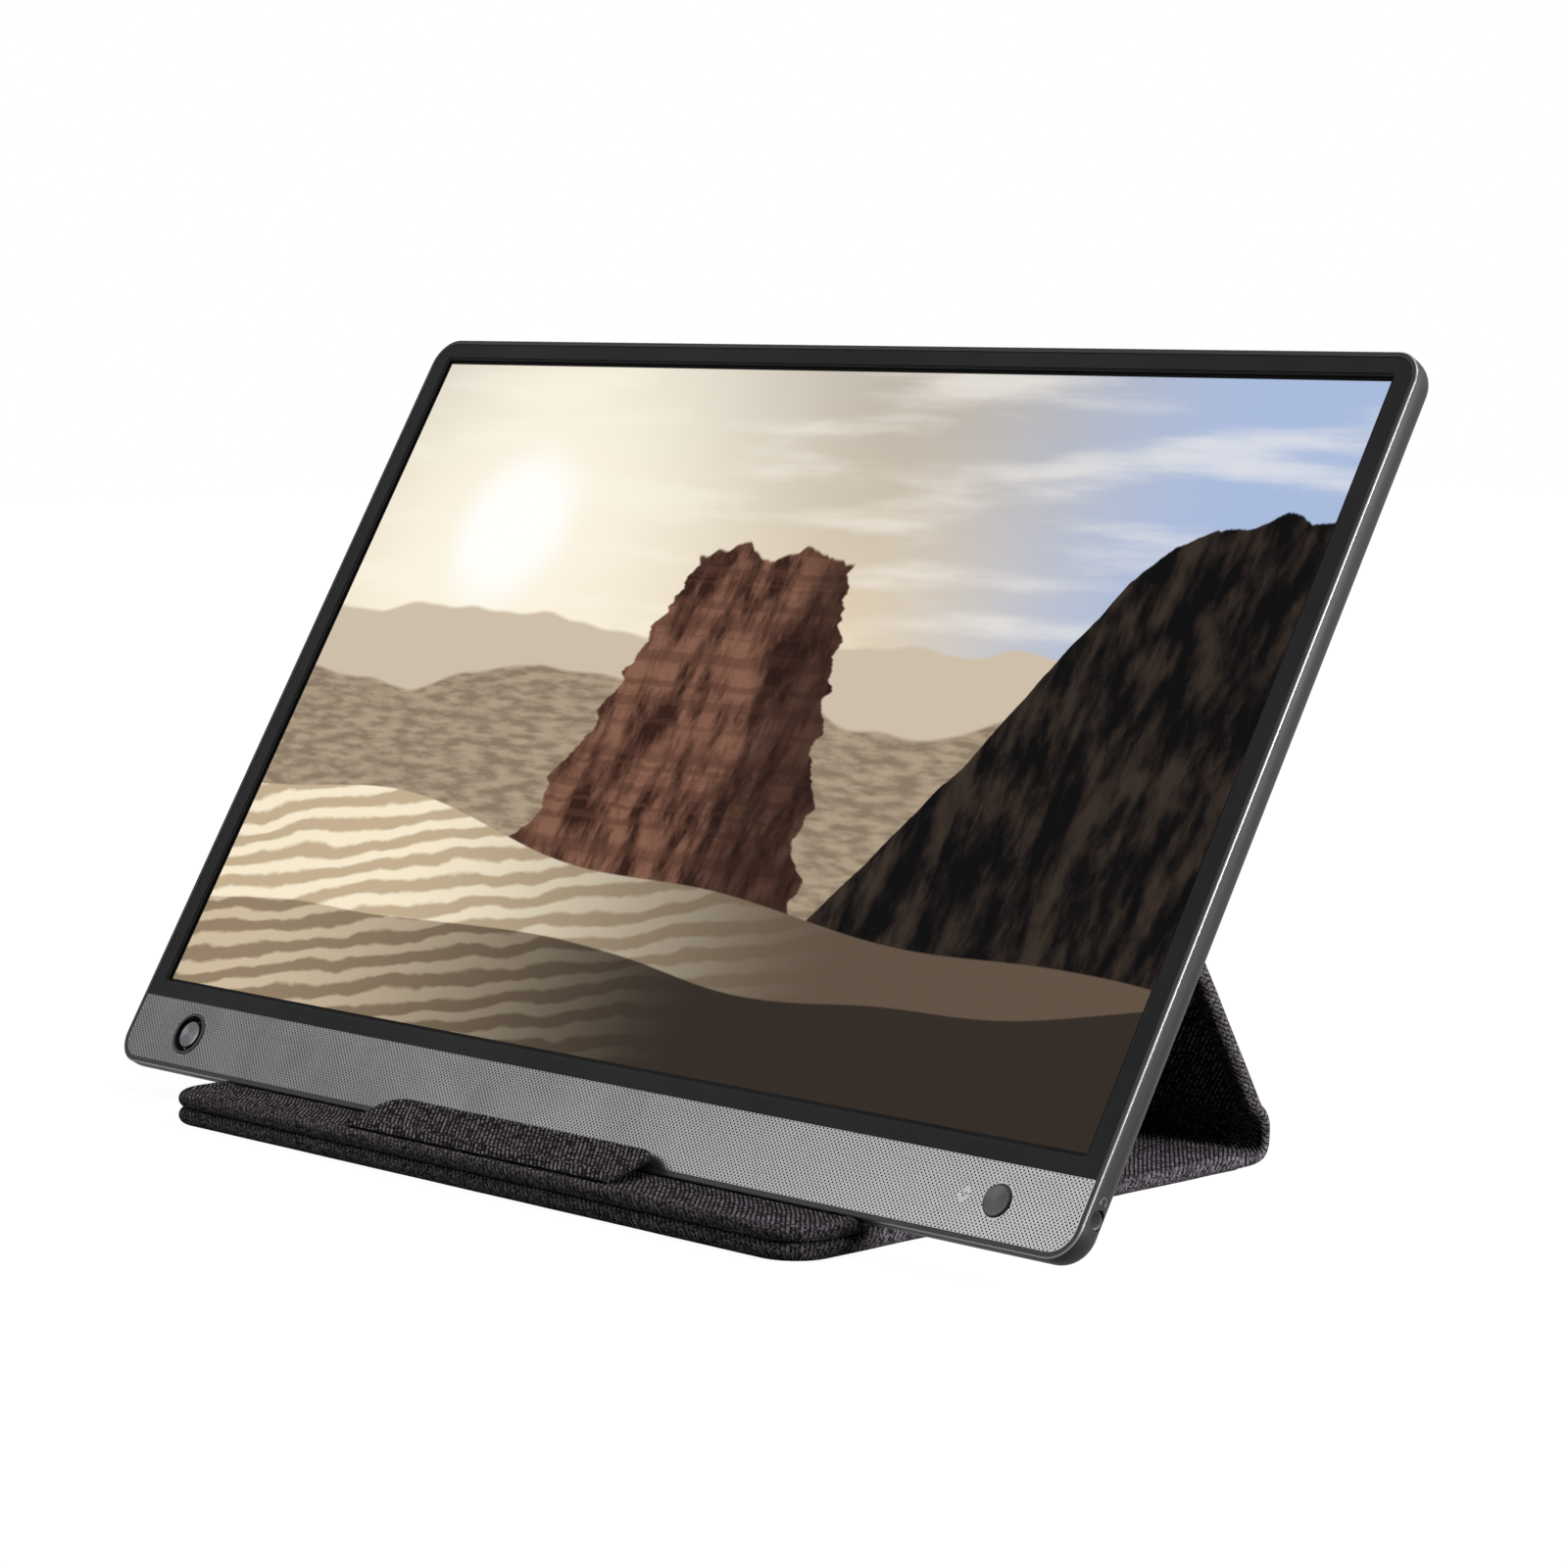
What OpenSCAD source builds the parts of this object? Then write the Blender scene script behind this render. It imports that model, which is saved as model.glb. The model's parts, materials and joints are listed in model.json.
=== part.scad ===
// Portable monitor leaning on its folding fabric cover.
// Origin: bottom centre of the whole object as it stands. +X across the screen, +Y to the rear, +Z up.
// Side views use s, the distance back from the front edge of the cover's base, and h, the height.

/* [Screen] */
// Width of the lit picture
screen_w = 344.2; // [280:0.2:400]
// Height of the lit picture
screen_h = 193.6; // [160:0.2:240]
// Black margin of the panel seen inside the bezel window
screen_border = 1.0; // [0.5:0.1:2]
// Bezel beside the screen, from the window to the casing's lip
bezel_side = 5.35; // [4:0.05:9]
// Bezel above the screen
bezel_top = 4.8; // [4:0.1:9]
// Bezel strip between the screen and the grille
bezel_bottom = 4.7; // [3:0.1:9]
// Height of the speaker grille up the face
grille_h = 18; // [17.4:0.1:24]

/* [Casing] */
// Thickness of the monitor
mon_t = 9; // [8.8:0.1:12]
// Corner radius of the casing seen from the front
mon_corner_r = 8; // [7:0.5:14]
// Wall of the casing
casing_wall = 1.2; // [0.9:0.1:1.4]
// Width of the casing's front lip around the bezel
lip_w = 1.4; // [1.3:0.1:1.7]
// Thickness of that lip
lip_t = 0.9; // [0.7:0.1:1]
// Width of the bright chamfer on the lip
chamfer = 0.3; // [0.2:0.1:0.5]
// Radius of the rear edge
rear_r = 6; // [5.6:0.1:6.4]
// How far the bezel and grille lie below the lip
face_drop = 0.1; // [0.05:0.05:0.2]
// Gap around plates that drop into the casing
plate_gap = 0.15; // [0.1:0.05:0.25]

/* [Grille] */
// Thickness of the perforated plate
grille_t = 0.6; // [0.4:0.1:0.8]
// Diameter of one perforation
perf_d = 1.3; // [0.8:0.1:1.6]
// Distance between perforations along a row
perf_pitch = 3.1; // [2.6:0.1:5]
// Solid margin of the plate around the perforations
perf_margin = 1.0; // [0.6:0.1:2]
// Thickness of the dust cloth behind the plate
cloth_t = 0.15; // [0.1:0.05:0.2]

/* [Display stack] */
// Gasket between the bezel and the glass
gasket_t = 0.2; // [0.1:0.05:0.3]
// Liquid crystal cell with its polarisers
cell_t = 1.1; // [0.8:0.1:1.2]
// Diffuser and prism films together
films_t = 0.4; // [0.3:0.05:0.5]
// Light guide
guide_t = 0.8; // [0.5:0.1:0.9]
// Reflector sheet
reflector_t = 0.15; // [0.1:0.05:0.2]
// Sheet metal of the panel's rear tray
tray_t = 0.3; // [0.2:0.05:0.35]
// How far the cell reaches past the lit picture on each side
cell_reach = 2.4; // [2:0.1:2.8]
// LED packages along the lower edge of the light guide
led_count = 24; // [12:1:40]

/* [Controls] */
// Distance of each control from the middle of the monitor
control_x = 153; // [146:0.5:158]
// Outer radius of the stick's glossy ring
ring_r = 6; // [5.8:0.1:6.5]
// Radius of the stick's cap
cap_r = 3.7; // [3.2:0.1:3.9]
// Tilt of the stick each way, in degrees
stick_tilt = 6; // [4:0.5:6]
// Press travel of the stick
stick_press = 0.3; // [0.2:0.05:0.3]
// Radius of the power button
power_r = 3.95; // [3.5:0.05:4.4]
// How far the power button stands out of the grille
power_proud = 0.6; // [0.3:0.1:0.9]
// Press travel of the power button
power_press = 0.3; // [0.2:0.05:0.35]
// Running clearance of sliding and turning pins
run_gap = 0.05; // [0.03:0.01:0.08]

/* [Sockets] */
// Radius of the headphone jack's bore
jack_bore_r = 1.8; // [1.75:0.05:1.9]
// Radius of the jack's nose in the side wall
jack_nose_r = 2.3; // [2.15:0.05:2.3]
// Height of the jack above the casing's lower edge
jack_up = 11.6; // [9:0.1:14]
// Depth of the jack's axis below the face
jack_deep = 3.9; // [3.9:0.05:4.1]
// Outer width of the USB-C shell
usb_w = 8.94; // [8.6:0.02:9.1]
// Outer height of the USB-C shell
usb_h = 3.26; // [3:0.02:3.4]
// Outer width of the small HDMI shell
hdmi_w = 6.4; // [6:0.1:6.8]
// Outer height of the small HDMI shell
hdmi_h = 2.8; // [2.6:0.1:3]
// Wall of both socket shells
shell_t = 0.3; // [0.2:0.05:0.35]
// Length of both socket shells
socket_l = 7.4; // [6.5:0.1:9]

/* [Boards and speakers] */
// Thickness of the circuit boards
board_t = 0.8; // [0.6:0.1:1]
// Width of the main board
main_w = 120; // [80:1:150]
// Height of the main board up the face
main_h = 46; // [36:1:70]
// Length of one speaker box
speaker_l = 60; // [40:1:70]
// Distance of each speaker's middle from the middle of the monitor
speaker_x = 108; // [100:1:110]
// Wall of a speaker box
speaker_wall = 0.8; // [0.6:0.1:1]

/* [Cover] */
// Width of the cover across the screen
cover_w = 240; // [200:1:300]
// How far the cover's middle lies to the right of the screen's
cover_shift = -10; // [-20:1:20]
// Thickness of each covered panel
panel_t = 4.2; // [3.6:0.1:5]
// Thickness of the stiff board inside each panel
stiff_t = 2.6; // [1.8:0.1:2.8]
// Fabric border outside the stiff boards, seen from above
hem_w = 4; // [3:0.5:5]
// Corner radius of the free corners
cover_corner_r = 12; // [8:0.5:20]
// Length of the base panel from its front edge to the rear fold
base_len = 154.6; // [140:0.2:200]
// Outer radius of the rear fold
fold_r = 10.4; // [9:0.1:14]
// Distance from the front edge to the fold under the monitor
valley_at = 32.2; // [30:0.1:40]
// Lean of the monitor away from upright, in degrees
recline = 31; // [26:0.5:36]
// Lean of the prop panel away from upright, in degrees
prop_lean = 29.4; // [24:0.2:36]
// Clearance between the monitor's back and the support panel
back_gap = 0.3; // [0.2:0.05:0.5]
// Clearance between layers that lie on each other
layer_gap = 0.15; // [0.1:0.05:0.3]
// Thickness of the bare fabric in the folds
fold_t = 2; // [1.2:0.1:2.4]
// Thickness of the fabric under the monitor's edge
valley_t = 1.5; // [1.2:0.1:1.7]
// Clearance of the fabric lips in the folds
lip_gap = 0.3; // [0.25:0.05:0.5]

/* [Front flap] */
// Width of the flap
flap_w = 102; // [60:1:160]
// How far the flap's middle lies to the right of the screen's
flap_shift = -7.5; // [-20:0.5:20]
// Length of the flap from its crease to its edge
flap_len = 14.8; // [13:0.1:16]
// Thickness of the flap
flap_t = 1.6; // [1.2:0.1:2]
// Corner radius of the flap
flap_corner_r = 6; // [3:0.5:8]
// Distance from the front edge to the flap's crease
flap_at = 7; // [6:0.1:8]
// Gap between the flap's edge and the monitor's face
flap_gap = 1.1; // [1:0.1:1.6]

/* [Magnets] */
// Diameter of the disc magnets
magnet_d = 10; // [6:0.5:12]
// Thickness of the disc magnets
magnet_t = 1.4; // [1:0.1:1.6]
// Spacing of the magnet pairs across the cover
magnet_span = 180; // [100:1:200]
// Length of the bar magnets at the front edge
bar_l = 26; // [12:1:40]
// Width of the bar magnets at the front edge
bar_w = 5; // [3:0.5:6]
// Height of the steel plates up the monitor's back
plate_up = 100; // [84:1:110]
// Thickness of the steel plates
plate_t = 0.4; // [0.3:0.05:0.5]

/* [Hidden] */

fine = 48;
pin_facets = 24;
sink = 1;
fold_inset = 1;
flap_stiff_t = 0.6;
flap_hem = 3;

// Monitor, measured from its lower edge and its face
window_w = screen_w + 2 * screen_border;
window_h = screen_h + 2 * screen_border;
chin_top = lip_w + plate_gap + grille_h;
window_y = chin_top + bezel_bottom;
screen_mid_y = window_y + window_h / 2;
mon_w = window_w + 2 * (bezel_side + plate_gap + lip_w);
mon_h = window_y + window_h + bezel_top + plate_gap + lip_w;
plate_edge = lip_w + plate_gap;
chin_mid = (chin_top + plate_edge) / 2;
floor_z = -mon_t + casing_wall;
bezel_back = -lip_t;
chin_plate_t = 0.7;
chin_step_w = 1.5;
chin_back = -face_drop - grille_t - cloth_t - chin_plate_t;
cell_z = bezel_back - gasket_t;
films_z = cell_z - cell_t;
guide_z = films_z - films_t;
reflector_z = guide_z - guide_t;
tray_z = reflector_z - reflector_t;
tray_back = tray_z - tray_t;

// Side view of the stand
layer_h = panel_t + layer_gap;
fold_mid_r = fold_r - panel_t / 2;
depth = base_len + fold_mid_r + fold_t / 2;
lip_turn = lip_gap / fold_mid_r * 180 / PI;
valley_s = valley_at;
valley_h = layer_h + panel_t / 2;
// Distance along the support from the valley fold to the crest fold, where the two panels' middles meet
crest_s_off = base_len + fold_mid_r * cos(prop_lean) - valley_s;
crest_h_off = fold_r + fold_mid_r * sin(prop_lean) - valley_h;
support_len = (crest_s_off * cos(prop_lean) + crest_h_off * sin(prop_lean)) / sin(recline + prop_lean);
crest_s = valley_s + support_len * sin(recline);
crest_h = valley_h + support_len * cos(recline);
prop_len = (crest_h - fold_r - fold_mid_r * sin(prop_lean)) / cos(prop_lean);
// The two panels clear each other past this distance from the crest
crest_cut = panel_t / 2 / tan((recline + prop_lean) / 2) + 0.6;
// The monitor's rounded lower rear edge rests in the valley
seat_h = panel_t + layer_gap + valley_t + layer_gap;
back_off = panel_t / 2 + back_gap;
seat_up = (seat_h + rear_r - valley_h - (back_off + rear_r) * sin(recline)) / cos(recline) - rear_r;
mon_s = valley_s - (back_off + mon_t) * cos(recline) + seat_up * sin(recline);
mon_low = valley_h + (back_off + mon_t) * sin(recline) + seat_up * cos(recline);
// The foot's slanted rear end stays back_gap clear of the monitor's lower edge
foot_len = mon_s + ((mon_low - layer_h - panel_t) * cos(recline) - back_gap) / sin(recline);
// The flap leans until its rounded edge is flap_gap from the face
flap_h = layer_h + panel_t + flap_t / 2 + layer_gap;
flap_reach = flap_len - flap_t / 2;
flap_need = flap_t / 2 + flap_gap + (flap_at - mon_s) * cos(recline) - (flap_h - mon_low) * sin(recline);
flap_tilt = acos(-flap_need / flap_reach) - recline;

fabric = "#37343a";
card = "#8a7a62";
magnet_grey = "#b5b7ba";
gunmetal = "#4b4642";
near_black = "#202022";
silver = "#a9abac";
board_green = "#20513a";

// ---- places ----

// Lays a side view, drawn in s and h, across the cover
module across(w) {
    translate([cover_shift - w / 2, -depth / 2, 0])
        rotate([90, 0, 90])
            linear_extrude(w)
                children();
}

// A point of the side view, turned so that local +Y runs at an angle above +Y
module at_side(s, h, angle, x = cover_shift) {
    translate([x, s - depth / 2, h])
        rotate([angle, 0, 0])
            children();
}

// The monitor's own frame: x across, y up the face from the lower edge, z out of the face
module on_monitor() {
    translate([0, mon_s - depth / 2, mon_low])
        rotate([90 - recline, 0, 0])
            children();
}

// ---- shapes ----

// Rounded rectangle centred on x, standing on y = 0
module round_rect(w, h, r) {
    translate([-w / 2 + r, 0])
        square([w - 2 * r, h]);
    translate([-w / 2, r])
        square([w, h - 2 * r]);
    for (x = [-w / 2 + r, w / 2 - r], y = [r, h - r])
        translate([x, y])
            circle(r, $fn = fine);
}

// Rounded slot centred on the origin
module slot(w, h) {
    square([w - h, h], center = true);
    for (x = [-1, 1])
        translate([x * (w - h) / 2, 0])
            circle(h / 2, $fn = pin_facets);
}

module plate(z_low, z_high) {
    translate([0, 0, z_low])
        linear_extrude(z_high - z_low)
            children();
}

// Carries an edge profile round a rounded rectangle; the profile's x = 0 is the outer edge
module rim(w, h, r) {
    module side(run) {
        rotate([90, 0, 0])
            linear_extrude(run)
                children();
    }
    for (m = [0, 1])
        mirror([m, 0, 0]) {
            translate([w / 2, h - r, 0])
                side(h - 2 * r) children();
            translate([w / 2 - r, h - r, 0])
                rotate_extrude(angle = 90, $fn = 2 * fine)
                    translate([r, 0]) children();
            translate([w / 2 - r, r, 0])
                rotate([0, 0, -90])
                    rotate_extrude(angle = 90, $fn = 2 * fine)
                        translate([r, 0]) children();
        }
    translate([-w / 2 + r, h, 0])
        rotate([0, 0, 90])
            side(w - 2 * r) children();
    translate([w / 2 - r, 0, 0])
        rotate([0, 0, -90])
            side(w - 2 * r) children();
}

// Outer half of a round panel edge, its flat side at x = -t / 2
module half_round(t) {
    intersection() {
        translate([-t / 2, 0])
            circle(t / 2, $fn = pin_facets);
        translate([-t / 2, -t])
            square([t, 2 * t]);
    }
}

// Covered panel: rounded edges, a flat end at y = length, round corners of radius r at y = 0
module panel(w, length, t, r) {
    spare = 2 * r;
    intersection() {
        union() {
            rim(w, length + spare, r)
                half_round(t);
            translate([0, t / 2, -t / 2])
                linear_extrude(t)
                    round_rect(w - t, length + spare - t, r - t / 2);
        }
        translate([-w, -sink, -t])
            cube([2 * w, length + sink, 2 * t]);
    }
}

// Panel between two folds: round side edges and square ends
module folded_panel(y_low, y_high) {
    translate([0, y_high, 0])
        rotate([90, 0, 0])
            linear_extrude(y_high - y_low)
                slot(cover_w, panel_t);
}

// Stiff board of a cover panel, kept inside the hem
module stiffener(y_low, y_high, r) {
    translate([0, y_low, -stiff_t / 2])
        linear_extrude(stiff_t)
            round_rect(cover_w - 2 * hem_w, y_high - y_low, r);
}

// ---- monitor: casing ----

// Section of the casing's edge: chamfered lip, side wall and rounded rear edge
module casing_edge() {
    wall_h = mon_t - rear_r;
    difference() {
        intersection() {
            union() {
                translate([-rear_r, -wall_h])
                    square([rear_r, wall_h]);
                translate([-rear_r, -wall_h])
                    circle(rear_r, $fn = 2 * fine);
            }
            translate([-rear_r, -mon_t])
                square([rear_r, mon_t]);
        }
        translate([-rear_r - sink, -wall_h])
            square([rear_r + sink - casing_wall, wall_h - lip_t]);
        translate([-rear_r, -wall_h])
            circle(rear_r - casing_wall, $fn = 2 * fine);
        translate([-rear_r - sink, -lip_t - sink / 10])
            square([rear_r + sink - lip_w, lip_t + sink]);
        polygon([[-chamfer, 0], [-chamfer, sink], [sink, sink], [sink, -chamfer], [0, -chamfer]]);
    }
}

boss_h = 0.8;
boss_r = 1.8;
screw_r = 0.6;
main_y = chin_top + 8;
side_board_w = 33;
// How far the cavity reaches past the rear edge's centre at the boards' backs
board_arc = sqrt(pow(rear_r - casing_wall, 2) - pow(rear_r - casing_wall - boss_h, 2));
edge_clear = 0.4;
side_board_x = mon_w / 2 - rear_r + board_arc - edge_clear - side_board_w / 2;
side_board_r = 4;
side_board_y = rear_r - board_arc + edge_clear;
side_board_h = chin_top - side_board_y;
board_z = floor_z + boss_h;
board_top = board_z + board_t;

// Screw places: main board, then the two side boards
screw_places = concat(
    [for (x = [-1, 1], y = [4, main_h - 4]) [x * (main_w / 2 - 4), main_y + y]],
    [for (x = [-1, 1]) [x * (side_board_x - side_board_w / 2 + 3), side_board_y + 3]],
    [for (x = [-1, 1]) [x * (side_board_x - side_board_w / 2 + 3), side_board_y + side_board_h - 3]]);

socket_face = mon_w / 2;
jack_body_end = socket_face - casing_wall - 1.5;
port_z = board_top + usb_h / 2;
hdmi_z = board_top + hdmi_h / 2;
usb_y = side_board_y + usb_w / 2;
hdmi_y = usb_y + (usb_w + hdmi_w) / 2 + 1;
port_clear = 0.2;
// The openings reach in past the casing's round corner
port_run = mon_corner_r;

// Shape of a side-wall opening, drawn across the wall
module through_left(y, z, run) {
    translate([-socket_face - sink, y, z])
        rotate([90, 0, 90])
            linear_extrude(run)
                children();
}

module hdmi_outline(grow) {
    w = hdmi_w + 2 * grow;
    h = hdmi_h + 2 * grow;
    shoulder = h * 0.45;
    polygon([[-w / 2, h / 2], [w / 2, h / 2], [w / 2, h / 2 - shoulder], [w / 2 - 0.7, -h / 2],
        [-w / 2 + 0.7, -h / 2], [-w / 2, h / 2 - shoulder]]);
}

module rear_casing() color(gunmetal) on_monitor() {
    difference() {
        union() {
            rim(mon_w, mon_h, mon_corner_r)
                casing_edge();
            translate([0, rear_r, 0])
                plate(-mon_t, floor_z)
                    round_rect(mon_w - 2 * rear_r, mon_h - 2 * rear_r, mon_corner_r - rear_r);
            for (p = screw_places)
                translate([p[0], p[1], floor_z])
                    cylinder(r = boss_r, h = boss_h, $fn = pin_facets);
        }
        for (p = screw_places)
            translate([p[0], p[1], floor_z - 0.6])
                cylinder(r = screw_r, h = boss_h + sink, $fn = pin_facets);
        translate([jack_body_end - 0.1, jack_up, -jack_deep])
            rotate([0, 90, 0])
                cylinder(r = jack_nose_r + 0.1, h = socket_face - jack_body_end + sink, $fn = fine);
        through_left(usb_y, port_z, port_run)
            slot(usb_w + 2 * port_clear, usb_h + 2 * port_clear);
        through_left(hdmi_y, hdmi_z, port_run)
            hdmi_outline(port_clear);
    }
}

// ---- monitor: face ----

module face_outline() {
    translate([0, plate_edge])
        round_rect(mon_w - 2 * plate_edge, mon_h - 2 * plate_edge, mon_corner_r - plate_edge);
}

module chin_outline(gap = 0) {
    intersection() {
        face_outline();
        translate([-mon_w, 0])
            square([2 * mon_w, chin_top - gap]);
    }
}

window_r = 0.8;
step_w = 0.7;
step_t = 0.3;

module window(grow) {
    translate([0, window_y - grow])
        round_rect(window_w + 2 * grow, window_h + 2 * grow, window_r + grow);
}

speaker_h = chin_top - rear_r - 0.15;
speaker_y = rear_r + 0.1;
speaker_mid = speaker_y + speaker_h / 2;

module speaker_slots() {
    for (m = [-1, 1], k = [-1, 0, 1])
        translate([m * speaker_x + k * (speaker_l - 8) / 3, speaker_mid])
            slot((speaker_l - 8) / 3 - 3, 8);
}

module front_bezel() color(near_black) on_monitor() {
    difference() {
        union() {
            plate(bezel_back, -face_drop)
                difference() {
                    face_outline();
                    chin_outline();
                }
            plate(chin_back, -face_drop - grille_t - cloth_t)
                difference() {
                    chin_outline();
                    speaker_slots();
                }
            plate(chin_back, bezel_back)
                intersection() {
                    face_outline();
                    translate([-mon_w, chin_top])
                        square([2 * mon_w, chin_step_w]);
                }
        }
        plate(-mon_t, sink)
            window(0);
        plate(-face_drop - step_t, sink)
            window(step_w);
        translate([-control_x, chin_mid, -mon_t])
            cylinder(r = ring_r - 0.3, h = 2 * mon_t, $fn = fine);
        translate([control_x, chin_mid, -mon_t])
            cylinder(r = power_r + 0.2, h = 2 * mon_t, $fn = fine);
    }
}

perf_rise = perf_pitch * sqrt(3) / 2;
perf_rows = floor((grille_h - 2 * perf_margin - perf_d) / perf_rise);
perf_cols = floor((mon_w - 2 * plate_edge - 2 * perf_margin - perf_d) / perf_pitch);
control_clear = 1.2;

// A perforation stays clear of the two controls and of the plate's round corners
function perf_fits(x, y) =
    norm([x + control_x, y]) > ring_r + control_clear
    && norm([x - control_x, y]) > power_r + control_clear
    && (abs(x) < mon_w / 2 - mon_corner_r || y > -grille_h / 2 + mon_corner_r - plate_edge);

module perforations() {
    for (row = [0 : perf_rows]) {
        y = (row - perf_rows / 2) * perf_rise;
        shift = (row % 2) / 2;
        for (col = [0 : perf_cols - row % 2]) {
            x = (col + shift - perf_cols / 2) * perf_pitch;
            if (perf_fits(x, y))
                translate([x, chin_mid + y])
                    circle(d = perf_d, $fn = 16);
        }
    }
}

module speaker_grille() color(silver) on_monitor()
    plate(-face_drop - grille_t, -face_drop)
        difference() {
            chin_outline(0.1);
            perforations();
            translate([-control_x, chin_mid])
                circle(ring_r + 0.1, $fn = fine);
            translate([control_x, chin_mid])
                circle(power_r + 0.2, $fn = fine);
        }

module dust_cloth() color("#111112") on_monitor()
    plate(-face_drop - grille_t - cloth_t, -face_drop - grille_t)
        difference() {
            translate([0, plate_edge + 0.5])
                round_rect(mon_w - 2 * plate_edge - 2, grille_h - 1.5, 4);
            for (m = [-1, 1])
                translate([m * control_x, chin_mid])
                    circle(ring_r + 0.6, $fn = fine);
        }

// ---- monitor: display stack ----

module around_screen(reach, r = 1) {
    translate([0, screen_mid_y - screen_h / 2 - reach])
        round_rect(screen_w + 2 * reach, screen_h + 2 * reach, r);
}

module display_gasket() color("#19191a") on_monitor()
    plate(cell_z, bezel_back)
        difference() {
            around_screen(cell_reach);
            around_screen(screen_border + 0.2);
        }

module lcd_cell() color("#0c0d10") on_monitor()
    plate(films_z, cell_z)
        around_screen(cell_reach, 0.5);

module diffuser_films() color("#e9ebec") on_monitor()
    plate(guide_z, films_z)
        around_screen(cell_reach - 1, 0.5);

module light_guide() color("#dfe8ea") on_monitor()
    plate(reflector_z, guide_z)
        around_screen(cell_reach - 1, 0.5);

module reflector_sheet() color("#f2f2f0") on_monitor()
    plate(tray_z, reflector_z)
        around_screen(cell_reach - 1, 0.5);

module panel_frame() color("#d8d8d5") on_monitor()
    plate(tray_z, films_z)
        difference() {
            around_screen(cell_reach, 0.5);
            around_screen(cell_reach - 1, 0.5);
            translate([-screen_w / 2, screen_mid_y - screen_h / 2 - cell_reach - sink])
                square([screen_w, cell_reach]);
        }

module panel_tray() color("#8d9092") on_monitor() {
    plate(tray_back, tray_z)
        around_screen(cell_reach + tray_t, 0.7);
    plate(tray_z, cell_z)
        difference() {
            around_screen(cell_reach + tray_t, 0.7);
            around_screen(cell_reach, 0.5);
        }
}

module led_bar() color("#e8d27a") on_monitor() {
    bar_y = screen_mid_y - screen_h / 2 - cell_reach;
    pitch = screen_w / led_count;
    translate([0, bar_y + 0.25, 0])
        plate(tray_z, films_z - 0.1)
            square([screen_w - 1, 0.5], center = true);
    for (i = [0 : led_count - 1])
        translate([(i - (led_count - 1) / 2) * pitch, bar_y + 0.7, 0])
            plate(reflector_z + 0.1, guide_z - 0.1)
                square([3.4, 0.4], center = true);
}

driver_z = tray_back - 0.2;
driver_up = 3;
driver_h = 9;
driver_w = screen_w * 0.58;

module driver_board() color(board_green) on_monitor() {
    translate([0, window_y + driver_up, 0]) {
        plate(driver_z - board_t, driver_z)
            translate([-driver_w / 2, 0])
                square([driver_w, driver_h]);
        plate(driver_z - board_t - 0.9, driver_z - board_t)
            for (k = [-0.35, -0.12, 0.12])
                translate([k * driver_w, 2])
                    square([9, 5]);
        plate(driver_z, tray_back)
            for (k = [-0.46, 0.44])
                translate([k * driver_w, 1])
                    square([4, 7]);
    }
}

// ---- monitor: boards ----

chip_h = 1.1;

module main_board() color(board_green) on_monitor() {
    difference() {
        translate([0, main_y, 0])
            plate(board_z, board_top)
                round_rect(main_w, main_h, 2);
        for (p = screw_places)
            translate([p[0], p[1], board_z - sink])
                cylinder(r = screw_r + 0.1, h = 3, $fn = pin_facets);
    }
    // Scaler, memory, power coils and plug sockets
    translate([0, main_y, 0])
        plate(board_top, board_top + chip_h) {
            translate([-8, 17])
                square([16, 16]);
            translate([18, 20])
                square([11, 8]);
            for (x = [-46, -36, -26])
                translate([x, 8])
                    square([6, 6]);
            for (x = [-main_w / 2 + 1, main_w / 2 - 5])
                translate([x, main_h / 2 - 6])
                    square([4, 12]);
            translate([-10, main_h - 6])
                square([20, 4]);
        }
}

// Board behind a control; side is -1 at the left
module side_board(side) {
    difference() {
        translate([side * side_board_x, side_board_y, 0])
            plate(board_z, board_top)
                round_rect(side_board_w, side_board_h, side_board_r);
        for (p = screw_places)
            translate([p[0], p[1], board_z - sink])
                cylinder(r = screw_r + 0.1, h = 3, $fn = pin_facets);
    }
    translate([side * (control_x + 8.5), chin_mid, 0])
        plate(board_top, board_top + chip_h)
            square([3, side_board_h - 6], center = true);
}

module left_board() color(board_green) on_monitor() side_board(-1);
module right_board() color(board_green) on_monitor() side_board(1);

module board_screws() color("#b8bbbd") on_monitor()
    for (p = screw_places)
        translate([p[0], p[1], 0]) {
            translate([0, 0, board_top])
                cylinder(r = 1.3, h = 0.5, $fn = pin_facets);
            translate([0, 0, floor_z - 0.5])
                cylinder(r = screw_r, h = board_top - floor_z + 0.5, $fn = pin_facets);
        }

ribbon_t = 0.15;
ribbon_w = 6;

// Flat cable from a side board's inner end, up beside the speaker and across to the main board
module side_ribbon(side) {
    x_out = side_board_x - side_board_w / 2 + 3;
    x_turn = speaker_x + speaker_l / 2 + 0.7;
    x_in = main_w / 2 - 1;
    y_low = side_board_y + (side_board_h - ribbon_w) / 2;
    y_high = main_y + (main_h - ribbon_w) / 2;
    mirror([side < 0 ? 1 : 0, 0, 0])
        plate(board_top, board_top + ribbon_t) {
            translate([x_turn, y_low])
                square([x_out - x_turn, ribbon_w]);
            translate([x_turn, y_low])
                square([ribbon_w, y_high + ribbon_w - y_low]);
            translate([x_in, y_high])
                square([x_turn + ribbon_w - x_in, ribbon_w]);
        }
}

module left_ribbon() color("#c9b58a") on_monitor() side_ribbon(-1);
module right_ribbon() color("#c9b58a") on_monitor() side_ribbon(1);

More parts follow.
